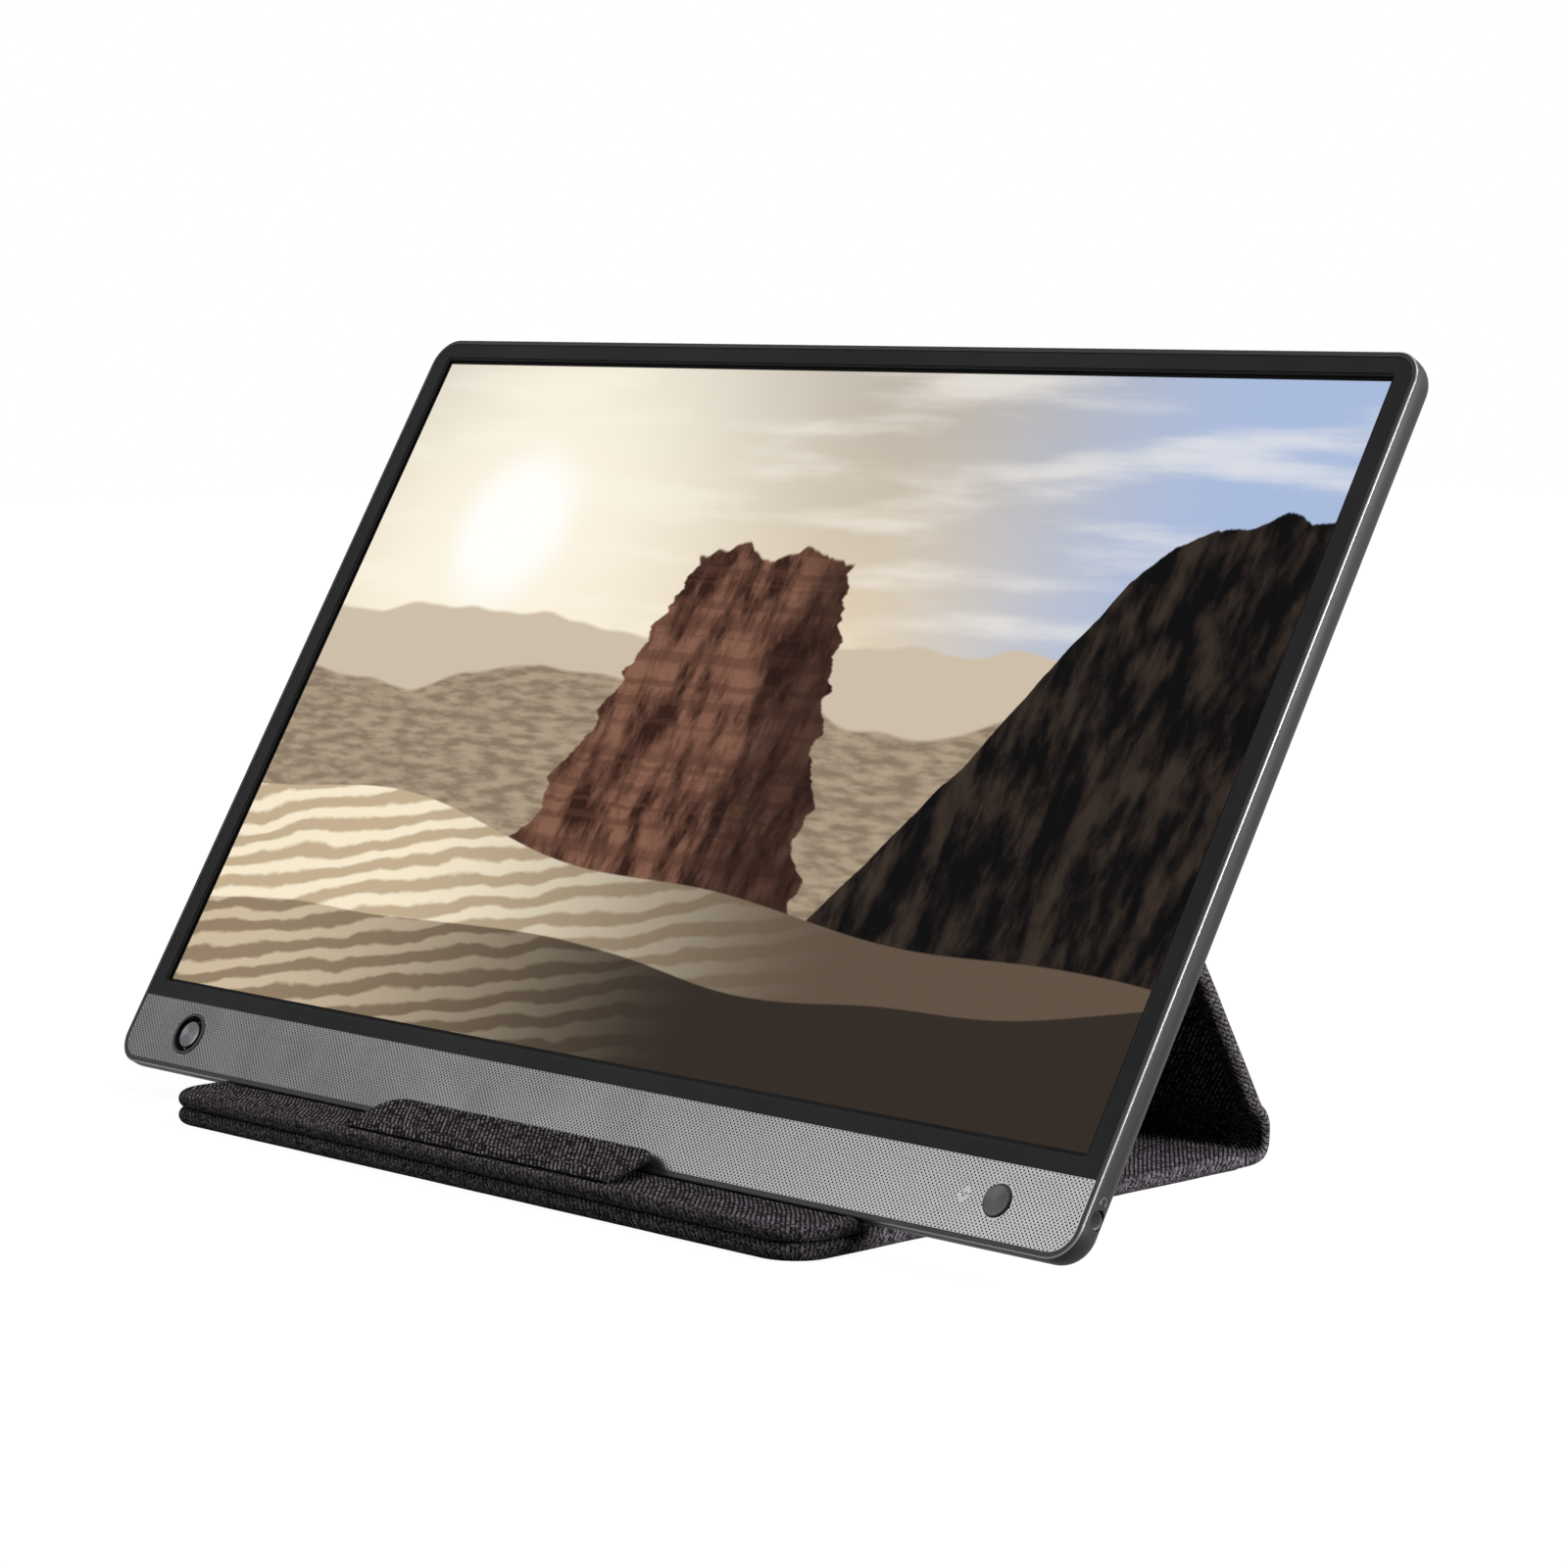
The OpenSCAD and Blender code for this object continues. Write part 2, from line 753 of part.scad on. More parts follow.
// Flat cable from under the driver board to the main board's upper socket
module panel_cable() color("#c9b58a") on_monitor() {
    cable_w = 18;
    y_low = window_y + driver_up + driver_h - 2;
    y_high = main_y + main_h - 3;
    z = board_top + chip_h;
    plate(z, z + ribbon_t)
        translate([-cable_w / 2, y_low])
            square([cable_w, y_high - y_low]);
    plate(z, driver_z - board_t)
        translate([-cable_w / 2, y_low - 1])
            square([cable_w, 1]);
}

// ---- monitor: speakers ----

speaker_top = chin_back - 0.1;
cone_l = speaker_l - 10;
cone_h = speaker_h - 4;

module speaker_box(side) {
    difference() {
        translate([side * speaker_x, speaker_y, 0])
            plate(floor_z, speaker_top)
                round_rect(speaker_l, speaker_h, 2);
        translate([side * speaker_x, speaker_y + speaker_wall, 0])
            plate(floor_z + speaker_wall, speaker_top - speaker_wall)
                round_rect(speaker_l - 2 * speaker_wall, speaker_h - 2 * speaker_wall, 1.2);
        translate([side * speaker_x, speaker_mid, 0])
            plate(speaker_top - 2 * speaker_wall, speaker_top + sink)
                slot(cone_l, cone_h);
    }
}

// Diaphragm with its rolled surround, glued under the box's opening, and its magnet
module speaker_cone(side) {
    z = speaker_top - speaker_wall;
    translate([side * speaker_x, speaker_mid, 0]) {
        plate(z - 0.3, z)
            slot(cone_l + 1.2, cone_h + 1.2);
        plate(z, z + 0.3)
            difference() {
                slot(cone_l - 2, cone_h - 2);
                slot(cone_l - 5, cone_h - 5);
            }
        plate(floor_z + speaker_wall, z - 0.3)
            square([cone_l / 2, cone_h - 2], center = true);
    }
}

module left_speaker_box() color("#2b2b2d") on_monitor() speaker_box(-1);
module right_speaker_box() color("#2b2b2d") on_monitor() speaker_box(1);
module left_speaker_cone() color("#515356") on_monitor() speaker_cone(-1);
module right_speaker_cone() color("#515356") on_monitor() speaker_cone(1);

// ---- monitor: sockets ----

socket_set_in = 1.5;

// Runs a section inwards from just inside the left side wall's face
module into_left(y, z, start, run) {
    translate([-socket_face + socket_set_in + start, y, z])
        rotate([90, 0, 90])
            linear_extrude(run)
                children();
}

module usb_socket() color("#9b9da0") on_monitor() {
    into_left(usb_y, port_z, 0, socket_l - 1)
        difference() {
            slot(usb_w, usb_h);
            slot(usb_w - 2 * shell_t, usb_h - 2 * shell_t);
        }
    into_left(usb_y, port_z, 1, socket_l - 1.5)
        slot(usb_w - 2.2, 0.7);
    into_left(usb_y, port_z, socket_l - 1, 1)
        slot(usb_w, usb_h);
}

module hdmi_socket() color("#9b9da0") on_monitor() {
    into_left(hdmi_y, hdmi_z, 0, socket_l - 1)
        difference() {
            hdmi_outline(0);
            hdmi_outline(-shell_t);
        }
    into_left(hdmi_y, hdmi_z, 1, socket_l - 1.5)
        square([hdmi_w - 2.2, 0.6], center = true);
    into_left(hdmi_y, hdmi_z, socket_l - 1, 1)
        hdmi_outline(0);
}

jack_l = 13;
jack_body_w = 6;
jack_top = -1.7;
jack_recess = 1.1;

module headphone_jack() color("#26262a") on_monitor()
    difference() {
        union() {
            translate([jack_body_end - jack_l, jack_up - jack_body_w / 2, board_top])
                cube([jack_l, jack_body_w, jack_top - board_top]);
            translate([jack_body_end, jack_up, -jack_deep])
                rotate([0, 90, 0])
                    cylinder(r = jack_nose_r, h = socket_face - jack_recess - jack_body_end, $fn = fine);
        }
        translate([socket_face - jack_l, jack_up, -jack_deep])
            rotate([0, 90, 0])
                cylinder(r = jack_bore_r, h = jack_l + sink, $fn = fine);
    }

plate_w = 30;
plate_h = 12;

module steel_plates() color("#7c7f82") on_monitor()
    for (m = [-1, 1])
        translate([m * magnet_span / 2 + cover_shift, plate_up, 0])
            plate(floor_z, floor_z + plate_t)
                square([plate_w, plate_h], center = true);

// ---- monitor: stick ----

ring_proud = 0.15;
ring_floor = -2.8;
ring_floor_t = 0.4;
stem_flare_r = 1.6;
can_top = ring_floor - ring_floor_t - 0.2;
can_w = 7.2;
can_bore_r = 2.8;
can_floor_t = 0.2;
pivot_z = can_top - 1.25;
gimbal_r = 2.5;
gimbal_in_r = 1.8;
hub_r = 1.45;
gimbal_h = 1.2;
pin_r = 0.25;
shaft_r = 0.7;
dome_h = 0.25;
cap_top = -face_drop;
cap_t = 1.2;
// The ring's well and the hole in its floor leave room for the tilted cap and stem
cap_swing = (cap_top - pivot_z) * sin(stick_tilt);
well_low_r = cap_r + cap_swing + 0.5;
well_top_r = well_low_r + 0.5;
ring_hole_r = stem_flare_r + cap_swing + 0.5;

module at_stick() {
    on_monitor()
        translate([-control_x, chin_mid, 0])
            children();
}

// Glossy cup: proud lip, sides that narrow inwards, floor with the stem's opening
module stick_ring() color("#0d0d0e") at_stick()
    difference() {
        union() {
            translate([0, 0, ring_floor - ring_floor_t])
                cylinder(r = ring_r - 0.4, h = ring_proud - ring_floor + ring_floor_t, $fn = 2 * fine);
            translate([0, 0, -face_drop - grille_t])
                cylinder(r = ring_r, h = ring_proud + face_drop + grille_t, $fn = 2 * fine);
        }
        translate([0, 0, ring_floor])
            cylinder(r1 = well_low_r, r2 = well_top_r, h = ring_proud - ring_floor + 0.01, $fn = 2 * fine);
        translate([0, 0, ring_floor - sink])
            cylinder(r = ring_hole_r, h = 2 * sink, $fn = fine);
    }

module stick_can() color("#a4a6a8") at_stick()
    difference() {
        translate([-can_w / 2, -can_w / 2, board_top])
            cube([can_w, can_w, can_top - board_top]);
        translate([0, 0, board_top + can_floor_t])
            cylinder(r = can_bore_r, h = can_top - board_top, $fn = fine);
        translate([-can_w / 2 + 0.3, 0, pivot_z])
            rotate([0, 90, 0])
                cylinder(r = pin_r + run_gap, h = can_w - 0.6, $fn = pin_facets);
    }

// Spring dome that the shaft presses
module stick_dome() color("#cfd0cf") at_stick()
    translate([0, 0, board_top + can_floor_t])
        cylinder(r1 = 2.2, r2 = 1.2, h = dome_h, $fn = pin_facets);

module stick_gimbal() color("#c4a45a") at_stick()
    difference() {
        union() {
            translate([0, 0, pivot_z - gimbal_h / 2])
                cylinder(r = gimbal_r, h = gimbal_h, $fn = fine);
            translate([-can_w / 2 + 0.4, 0, pivot_z])
                rotate([0, 90, 0])
                    cylinder(r = pin_r, h = can_w - 0.8, $fn = pin_facets);
        }
        translate([0, 0, pivot_z - gimbal_h])
            cylinder(r = gimbal_in_r, h = 2 * gimbal_h, $fn = fine);
        translate([0, -gimbal_r - sink, pivot_z])
            rotate([-90, 0, 0])
                cylinder(r = pin_r + run_gap, h = 2 * (gimbal_r + sink), $fn = pin_facets);
    }

module stick_hub() color("#d9d9d6") at_stick()
    difference() {
        union() {
            translate([0, 0, pivot_z - gimbal_h / 2])
                cylinder(r = hub_r, h = gimbal_h, $fn = fine);
            translate([0, -gimbal_r + 0.15, pivot_z])
                rotate([-90, 0, 0])
                    cylinder(r = pin_r, h = 2 * gimbal_r - 0.3, $fn = pin_facets);
        }
        translate([0, 0, pivot_z - gimbal_h])
            cylinder(r = shaft_r + run_gap, h = 2 * gimbal_h, $fn = fine);
    }

// Cap with a shallow spun dish, on its shaft
module stick_cap() color("#55565a") at_stick() {
    difference() {
        union() {
            translate([0, 0, cap_top - cap_t])
                cylinder(r1 = cap_r - 0.25, r2 = cap_r, h = 0.25, $fn = 2 * fine);
            translate([0, 0, cap_top - cap_t + 0.25])
                cylinder(r = cap_r, h = cap_t - 0.5, $fn = 2 * fine);
            translate([0, 0, cap_top - 0.25])
                cylinder(r1 = cap_r, r2 = cap_r - 0.25, h = 0.25, $fn = 2 * fine);
        }
        translate([0, 0, cap_top - 0.12])
            cylinder(r1 = 0.6, r2 = cap_r - 0.5, h = 0.12 + 0.001, $fn = 2 * fine);
    }
    shaft_low = board_top + can_floor_t + dome_h + stick_press + 0.15;
    translate([0, 0, shaft_low])
        cylinder(r = shaft_r, h = cap_top - cap_t - shaft_low, $fn = fine);
    translate([0, 0, cap_top - cap_t - 0.4])
        cylinder(r1 = shaft_r, r2 = stem_flare_r, h = 0.4, $fn = fine);
}

// ---- monitor: power button ----

flange_r = 4.6;
flange_t = 0.4;
flange_top = chin_back - 0.15;
stem_top = -4;
stem_r = 0.9;
stem_l = 1.1;
switch_w = 4.6;
switch_top = stem_top - 0.55;

module at_power() {
    on_monitor()
        translate([control_x, chin_mid, 0])
            children();
}

// Cap with a bevelled rim, a flange that keeps it behind the bezel and a plunger
module power_button() color("#3b3a3b") at_power() {
    top = -face_drop + power_proud;
    difference() {
        union() {
            translate([0, 0, flange_top - 0.1])
                cylinder(r = power_r, h = top - flange_top - 0.2, $fn = 2 * fine);
            translate([0, 0, top - 0.3])
                cylinder(r1 = power_r, r2 = power_r - 0.3, h = 0.3, $fn = 2 * fine);
        }
        translate([0, 0, top - 0.12])
            cylinder(r1 = 0.6, r2 = power_r - 0.6, h = 0.12 + 0.001, $fn = 2 * fine);
    }
    translate([0, 0, flange_top - flange_t])
        cylinder(r = flange_r, h = flange_t, $fn = 2 * fine);
    translate([0, 0, stem_top])
        cylinder(r = 1.4, h = flange_top - flange_t - stem_top, $fn = fine);
}

module power_stem() color("#1c1c1d") at_power()
    translate([0, 0, stem_top - stem_l])
        cylinder(r = stem_r, h = stem_l, $fn = fine);

module power_switch() color("#a4a6a8") at_power()
    difference() {
        translate([-switch_w / 2, -switch_w / 2, board_top])
            cube([switch_w, switch_w, switch_top - board_top]);
        translate([0, 0, stem_top - stem_l - power_press - 0.2])
            cylinder(r = stem_r + run_gap, h = 3, $fn = fine);
    }

// ---- cover: base ----

// Each panel is drawn flat, its middle plane at z = 0
board_r = 4;
board_end = 3;
foot_bar_y = hem_w + 1 + bar_w / 2;

module base_place()
    at_side(0, panel_t / 2, 0) children();

module bar_pair(z, spare = 0) {
    for (x = [-1, 1])
        translate([x * magnet_span / 2 - bar_l / 2, foot_bar_y - bar_w / 2, z])
            cube([bar_l, bar_w, magnet_t + spare]);
}

module base_stiffener()
    stiffener(hem_w, base_len - board_end, board_r);

module base_fabric() color(fabric) base_place()
    difference() {
        panel(cover_w, base_len, panel_t, cover_corner_r);
        base_stiffener();
    }

module base_board() color(card) base_place()
    difference() {
        base_stiffener();
        bar_pair(stiff_t / 2 - magnet_t, sink);
    }

module base_magnets() color(magnet_grey) base_place()
    bar_pair(stiff_t / 2 - magnet_t);

// Soft band bent from the base's rear end round to just short of the prop
module rear_fold() color(fabric)
    across(cover_w - 2 * fold_inset)
        translate([base_len, fold_r])
            intersection() {
                difference() {
                    circle(fold_mid_r + fold_t / 2, $fn = 3 * fine);
                    circle(fold_mid_r - fold_t / 2, $fn = 3 * fine);
                }
                polygon([[0, 0], [0, -2 * fold_r], [2 * fold_r, -2 * fold_r],
                    [2 * fold_r, 2 * fold_r * tan(prop_lean - lip_turn)]]);
            }

// ---- cover: prop, support and the fold at the crest ----

// Prop: y runs down from the crest, z out to the rear
module prop_place()
    at_side(crest_s, crest_h, prop_lean - 90) children();

module prop_stiffener()
    stiffener(crest_cut + board_end, prop_len - board_end, board_r / 2);

module prop_fabric() color(fabric) prop_place()
    difference() {
        folded_panel(crest_cut, prop_len);
        prop_stiffener();
    }

module prop_board() color(card) prop_place()
    prop_stiffener();

// Round crease on the crest's axis, with the web that joins it to the prop
module crest_fold() color(fabric) prop_place()
    translate([-cover_w / 2 + fold_inset, 0, 0]) {
        rotate([0, 90, 0])
            cylinder(r = panel_t / 2, h = cover_w - 2 * fold_inset, $fn = fine);
        translate([0, 0, -fold_t / 2])
            cube([cover_w - 2 * fold_inset, crest_cut, fold_t]);
    }

// Support: y runs up from the valley fold, z out to the monitor's back
module support_place()
    at_side(valley_s, valley_h, 90 - recline) children();

support_end = support_len - crest_cut;
support_magnet_y = plate_up + seat_up;

module support_stiffener()
    stiffener(board_end, support_end - board_end, board_r / 2);

module disc_pair(z, spare = 0) {
    for (x = [-1, 1])
        translate([x * magnet_span / 2, support_magnet_y, z])
            cylinder(d = magnet_d, h = magnet_t + spare, $fn = fine);
}

module support_fabric() color(fabric) support_place()
    difference() {
        translate([0, -panel_t / 2, 0])
            panel(cover_w, support_end + panel_t / 2, panel_t, panel_t / 2 + 0.5);
        support_stiffener();
    }

module support_board() color(card) support_place()
    difference() {
        support_stiffener();
        disc_pair(stiff_t / 2 - magnet_t, sink);
    }

module support_magnets() color(magnet_grey) support_place()
    disc_pair(stiff_t / 2 - magnet_t);

// Fabric lip between the support's upper end and the crease
module support_lip() color(fabric) support_place()
    translate([-cover_w / 2 + fold_inset, support_end, -fold_t / 2])
        cube([cover_w - 2 * fold_inset, crest_cut - panel_t / 2 - lip_gap, fold_t]);

// ---- cover: foot and flap ----

foot_wedge = 5;
valley_end = valley_at - panel_t / 2 - lip_gap;
foot_board_end = foot_len - 2;

module foot_place()
    at_side(0, layer_h + panel_t / 2, 0) children();

module foot_stiffener()
    stiffener(hem_w, foot_board_end, 1);

module foot_fabric() color(fabric) foot_place()
    difference() {
        panel(cover_w, foot_len + foot_wedge, panel_t, cover_corner_r);
        // Slant parallel to the monitor's lower edge
        translate([-cover_w, foot_len, panel_t / 2])
            rotate([-recline, 0, 0])
                translate([0, -panel_t, 0])
                    cube([2 * cover_w, 6 * panel_t, 3 * panel_t]);
        foot_stiffener();
    }

module foot_board() color(card) foot_place()
    difference() {
        foot_stiffener();
        bar_pair(-stiff_t / 2 - sink, sink);
    }

module foot_magnets() color(magnet_grey) foot_place()
    bar_pair(-stiff_t / 2);

// Bare fabric from the foot's rear end, under the monitor's edge, to the valley fold
module valley_strip() color(fabric)
    at_side(foot_len + foot_wedge, layer_h, 0)
        translate([-cover_w / 2 + fold_inset, 0, 0])
            cube([cover_w - 2 * fold_inset, valley_end - foot_len - foot_wedge, valley_t]);

// Flap: y runs from its crease to its free edge
module flap_place()
    at_side(flap_at, flap_h, flap_tilt, flap_shift) children();

module flap_stiffener()
    translate([0, flap_hem - 1, -flap_stiff_t / 2])
        linear_extrude(flap_stiff_t)
            round_rect(flap_w - 2 * flap_hem, flap_len - 2 * flap_hem + 1, 1);

module front_flap() color(fabric) flap_place()
    difference() {
        translate([0, flap_len, 0])
            rotate([0, 0, 180])
                panel(flap_w, flap_len, flap_t, flap_corner_r);
        flap_stiffener();
    }

module flap_board() color(card) flap_place()
    flap_stiffener();

rear_casing();
front_bezel();
speaker_grille();
dust_cloth();
display_gasket();
lcd_cell();
diffuser_films();
light_guide();
reflector_sheet();
panel_frame();
panel_tray();
led_bar();
driver_board();
main_board();
board_screws();
left_board();
right_board();
panel_cable();
left_ribbon();
right_ribbon();
left_speaker_box();
right_speaker_box();
left_speaker_cone();
right_speaker_cone();
usb_socket();
hdmi_socket();
headphone_jack();
steel_plates();
stick_ring();
stick_can();
stick_dome();
stick_gimbal();
stick_hub();
stick_cap();
power_button();
power_stem();
power_switch();
base_fabric();
base_board();
base_magnets();
rear_fold();
prop_fabric();
prop_board();
crest_fold();
support_fabric();
support_board();
support_magnets();
support_lip();
foot_fabric();
foot_board();
foot_magnets();
valley_strip();
front_flap();
flap_board();
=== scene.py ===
"""Portable monitor leaning on its folding fabric cover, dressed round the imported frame."""

import json
import math

import bmesh
import bpy
import numpy as np
from mathutils import Matrix, Vector, noise


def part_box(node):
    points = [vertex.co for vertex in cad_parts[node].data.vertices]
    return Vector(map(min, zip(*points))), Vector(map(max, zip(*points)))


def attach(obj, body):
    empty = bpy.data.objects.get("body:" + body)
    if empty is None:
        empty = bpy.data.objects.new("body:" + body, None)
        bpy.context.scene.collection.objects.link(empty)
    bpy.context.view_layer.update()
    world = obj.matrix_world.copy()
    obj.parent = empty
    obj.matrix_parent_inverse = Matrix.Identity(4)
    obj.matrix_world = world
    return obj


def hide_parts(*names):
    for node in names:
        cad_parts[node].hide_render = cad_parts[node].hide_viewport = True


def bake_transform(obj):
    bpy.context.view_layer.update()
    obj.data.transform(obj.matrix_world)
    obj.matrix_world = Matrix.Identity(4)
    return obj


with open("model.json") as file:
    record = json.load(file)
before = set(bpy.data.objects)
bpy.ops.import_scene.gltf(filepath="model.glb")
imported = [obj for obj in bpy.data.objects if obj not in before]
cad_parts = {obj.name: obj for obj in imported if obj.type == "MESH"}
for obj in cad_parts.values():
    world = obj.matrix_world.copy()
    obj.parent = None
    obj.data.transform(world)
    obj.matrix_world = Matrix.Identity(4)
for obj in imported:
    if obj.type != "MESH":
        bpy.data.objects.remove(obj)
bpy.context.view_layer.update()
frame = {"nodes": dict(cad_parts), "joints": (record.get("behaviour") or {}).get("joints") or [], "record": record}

bl_info = {
    "name": "Portable Monitor With Cover",
    "version": (1, 0, 0),
    "blender": (4, 5, 0),
    "location": "3D View > Sidebar > Monitor",
    "description": "Builds the finished pieces of a portable monitor and its folding cover",
    "category": "Add Mesh",
}

MM = 0.001


# ---- what the frame says ----


def joint(name):
    """The record's entry of a joint."""
    return next(j for j in frame["joints"] if j["name"] == name)


def node_points(name):
    """Vertices of a CAD node at rest, as rows of x, y, z in metres."""
    mesh = frame["nodes"][name].data
    points = np.zeros(len(mesh.vertices) * 3)
    mesh.vertices.foreach_get("co", points)
    return points.reshape(-1, 3)


def place(right, up, out, origin):
    """Matrix that carries local x, y and z onto three directions from an origin."""
    turned = Matrix((right, up, out)).transposed().to_4x4()
    turned.translation = origin
    return turned


def span(points, direction):
    """Lowest and highest reach of rows of points along a direction."""
    reach = points @ np.array(direction)
    return float(reach.min()), float(reach.max())


RIGHT = Vector((1, 0, 0))
UP_FACE = Vector(joint("monitor_lift")["axis"]).normalized()
OUT_FACE = RIGHT.cross(UP_FACE)

casing_points = node_points("rear_casing")
FACE_LOW = span(casing_points, UP_FACE)[0]
FACE_BACK, FACE_FRONT = span(casing_points, OUT_FACE)
MONITOR_W = 2 * span(casing_points, RIGHT)[1]
MONITOR = place(RIGHT, UP_FACE, OUT_FACE, UP_FACE * FACE_LOW + OUT_FACE * FACE_FRONT)


def local_span(node, axis):
    """Reach of a node along the monitor's own x, y (up the face) or z (out of the face)."""
    low, high = span(node_points(node), (RIGHT, UP_FACE, OUT_FACE)[axis])
    start = (0, FACE_LOW, FACE_FRONT)[axis]
    return low - start, high - start


SCREEN_X, SCREEN_Y = (local_span("display_gasket", axis) for axis in (0, 1))
CELL_Z = local_span("lcd_cell", 2)[1]
GRILLE_X, GRILLE_Y, GRILLE_Z = (local_span("speaker_grille", axis) for axis in (0, 1, 2))
RING_X, RING_Y, RING_Z = (local_span("stick_ring", axis) for axis in (0, 1, 2))
STICK_X, STICK_Y = sum(RING_X) / 2, sum(RING_Y) / 2
RING_R = (RING_X[1] - RING_X[0]) / 2
CAP_LOW, CAP_TOP = local_span("stick_cap", 2)
CAP_R = (local_span("stick_cap", 0)[1] - local_span("stick_cap", 0)[0]) / 2
POWER_X = sum(local_span("power_switch", 0)) / 2

BASE_LOW, BASE_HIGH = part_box("base_fabric")
PANEL_T = BASE_HIGH.z - BASE_LOW.z
COVER_W = BASE_HIGH.x - BASE_LOW.x
COVER_X = (BASE_HIGH.x + BASE_LOW.x) / 2
REAR_AXIS, CREST_AXIS, VALLEY_AXIS, FLAP_AXIS = (
    Vector(joint(name)["pos_m"]) for name in ("stand_fold", "crest_fold", "foot_fold", "flap_fold")
)
FOLD_MID_R = REAR_AXIS.z - PANEL_T / 2


def across_angle(v):
    """Angle of a direction in the side view, from +Y towards +Z."""
    return math.atan2(v.z, v.y)


def side_place(origin, angle):
    """Panel place: local y runs at an angle above +Y, z is its upper side."""
    along = Vector((0, math.cos(angle), math.sin(angle)))
    return place(RIGHT, along, RIGHT.cross(along), Vector((COVER_X, origin.y, origin.z)))


TO_REAR = REAR_AXIS - CREST_AXIS
PROP_ANGLE = across_angle(TO_REAR) + math.asin(FOLD_MID_R / TO_REAR.length)
SUPPORT_ANGLE = across_angle(CREST_AXIS - VALLEY_AXIS)


# ---- sizes and colours that a user would change ----


def size(name, text, default, low=0.0):
    return bpy.props.FloatProperty(
        name=name, description=text, default=default, min=low, unit="LENGTH", precision=5
    )


def colour(name, text, *default):
    return bpy.props.FloatVectorProperty(
        name=name, description=text, default=default, subtype="COLOR", size=3, min=0, max=1
    )


def power(name, text, default):
    return bpy.props.FloatProperty(
        name=name, description=text, default=default, min=0, unit="POWER"
    )


class GrilleSizes(bpy.types.PropertyGroup):
    pitch: size("Hole pitch", "Distance between holes along a row", 1.282 * MM, 0.0006)
    row_pitch: size("Row pitch", "Distance between the staggered rows", 0.629 * MM, 0.0005)
    hole: size("Hole diameter", "Diameter of one perforation", 0.5 * MM, 0.0001)
    margin: size("Margin", "Solid metal round the edge of the plate", 0.02 * MM)
    control_margin: size("Control margin", "Solid metal round the two controls", 0.02 * MM)
    colour: colour("Metal", "Satin metal of the grille", 0.160, 0.162, 0.163)


class CasingSizes(bpy.types.PropertyGroup):
    colour: colour("Metal", "Blasted metal of the casing", 0.0105, 0.0099, 0.0096)
    lip_colour: colour("Lip", "Cut metal of the lip", 0.032, 0.031, 0.030)
    bezel: colour("Bezel", "Matte plastic round the screen", 0.0245, 0.0245, 0.025)


class CoverSizes(bpy.types.PropertyGroup):
    roll: size("Edge roll", "Width of the rolled hem round each panel", 3.8 * MM, 0.001)
    groove: size("Hem groove", "Depth of the crease beside the hem", 0.2 * MM)
    drop: size("Field drop", "How far the cloth inside the hem lies below it", 0.5 * MM)
    sag: size("Waviness", "Height of the soft unevenness of the cloth", 0.12 * MM)
    twill: size("Twill pitch", "Distance between the diagonal ribs", 1.12 * MM, 0.0005)
    dark: colour("Dark yarn", "Colour of the dark threads", 0.011, 0.0102, 0.0115)
    light: colour("Light yarn", "Colour of the light flecks", 0.185, 0.165, 0.183)


class StageSizes(bpy.types.PropertyGroup):
    key: power("Key light", "Power of the large light", 12.5)
    fill: power("Fill light", "Power of the front light", 2.6)
    kicker: power("Rear light", "Power of the light behind the stand", 9.0)
    side: power("Side light", "Power of the light on the right", 16.0)
    ambient: bpy.props.FloatProperty(
        name="Ambient", description="Strength of the room's light", default=0.08, min=0
    )


GROUPS = {
    "pm_grille": GrilleSizes,
    "pm_casing": CasingSizes,
    "pm_cover": CoverSizes,
    "pm_stage": StageSizes,
}


# ---- building node trees ----


class Value:
    """A node's output that adds, subtracts, multiplies and divides through Math nodes."""

    def __init__(self, tree, socket):
        self.tree, self.socket = tree, socket

    def __add__(self, other):
        return self.tree.math("ADD", self, other)

    def __sub__(self, other):
        return self.tree.math("SUBTRACT", self, other)

    def __rsub__(self, other):
        return self.tree.math("SUBTRACT", other, self)

    def __mul__(self, other):
        return self.tree.math("MULTIPLY", self, other)

    def __truediv__(self, other):
        return self.tree.math("DIVIDE", self, other)


class Tree:
    """An emptied node tree and short calls that add nodes to it."""

    def __init__(self, tree):
        self.tree = tree
        self.tree.nodes.clear()

    def put(self, socket, value):
        """Link an output to a socket, or set the socket's own value."""
        value = getattr(value, "socket", value)
        if isinstance(value, bpy.types.NodeSocket):
            self.tree.links.new(value, socket)
        elif socket.type == "RGBA":
            socket.default_value = (*value, 1)
        else:
            socket.default_value = value

    def add(self, kind, inputs=(), **settings):
        """A new node, for those of which more than one output is needed."""
        made = self.tree.nodes.new(kind)
        for name, value in settings.items():
            setattr(made, name, value)
        for name, value in dict(inputs).items():
            self.put(made.inputs[name], value)
        return made

    def node(self, kind, inputs=(), output=0, **settings):
        """One output of a new node."""
        return Value(self, self.add(kind, inputs, **settings).outputs[output])

    def math(self, operation, a, b=0.0):
        return self.node("ShaderNodeMath", {0: a, 1: b}, operation=operation)

    def split(self, vector):
        """The three parts of a vector."""
        made = self.add("ShaderNodeSeparateXYZ", {0: vector})
        return [Value(self, output) for output in made.outputs]

    def seen(self):
        """1 for what the camera sees straight, in a shine or through glass, else 0."""
        kinds = ("Is Camera Ray", "Is Glossy Ray", "Is Transmission Ray")
        camera, glossy, through = (self.node("ShaderNodeLightPath", output=k) for k in kinds)
        return self.math("MAXIMUM", self.math("MAXIMUM", camera, glossy), through)


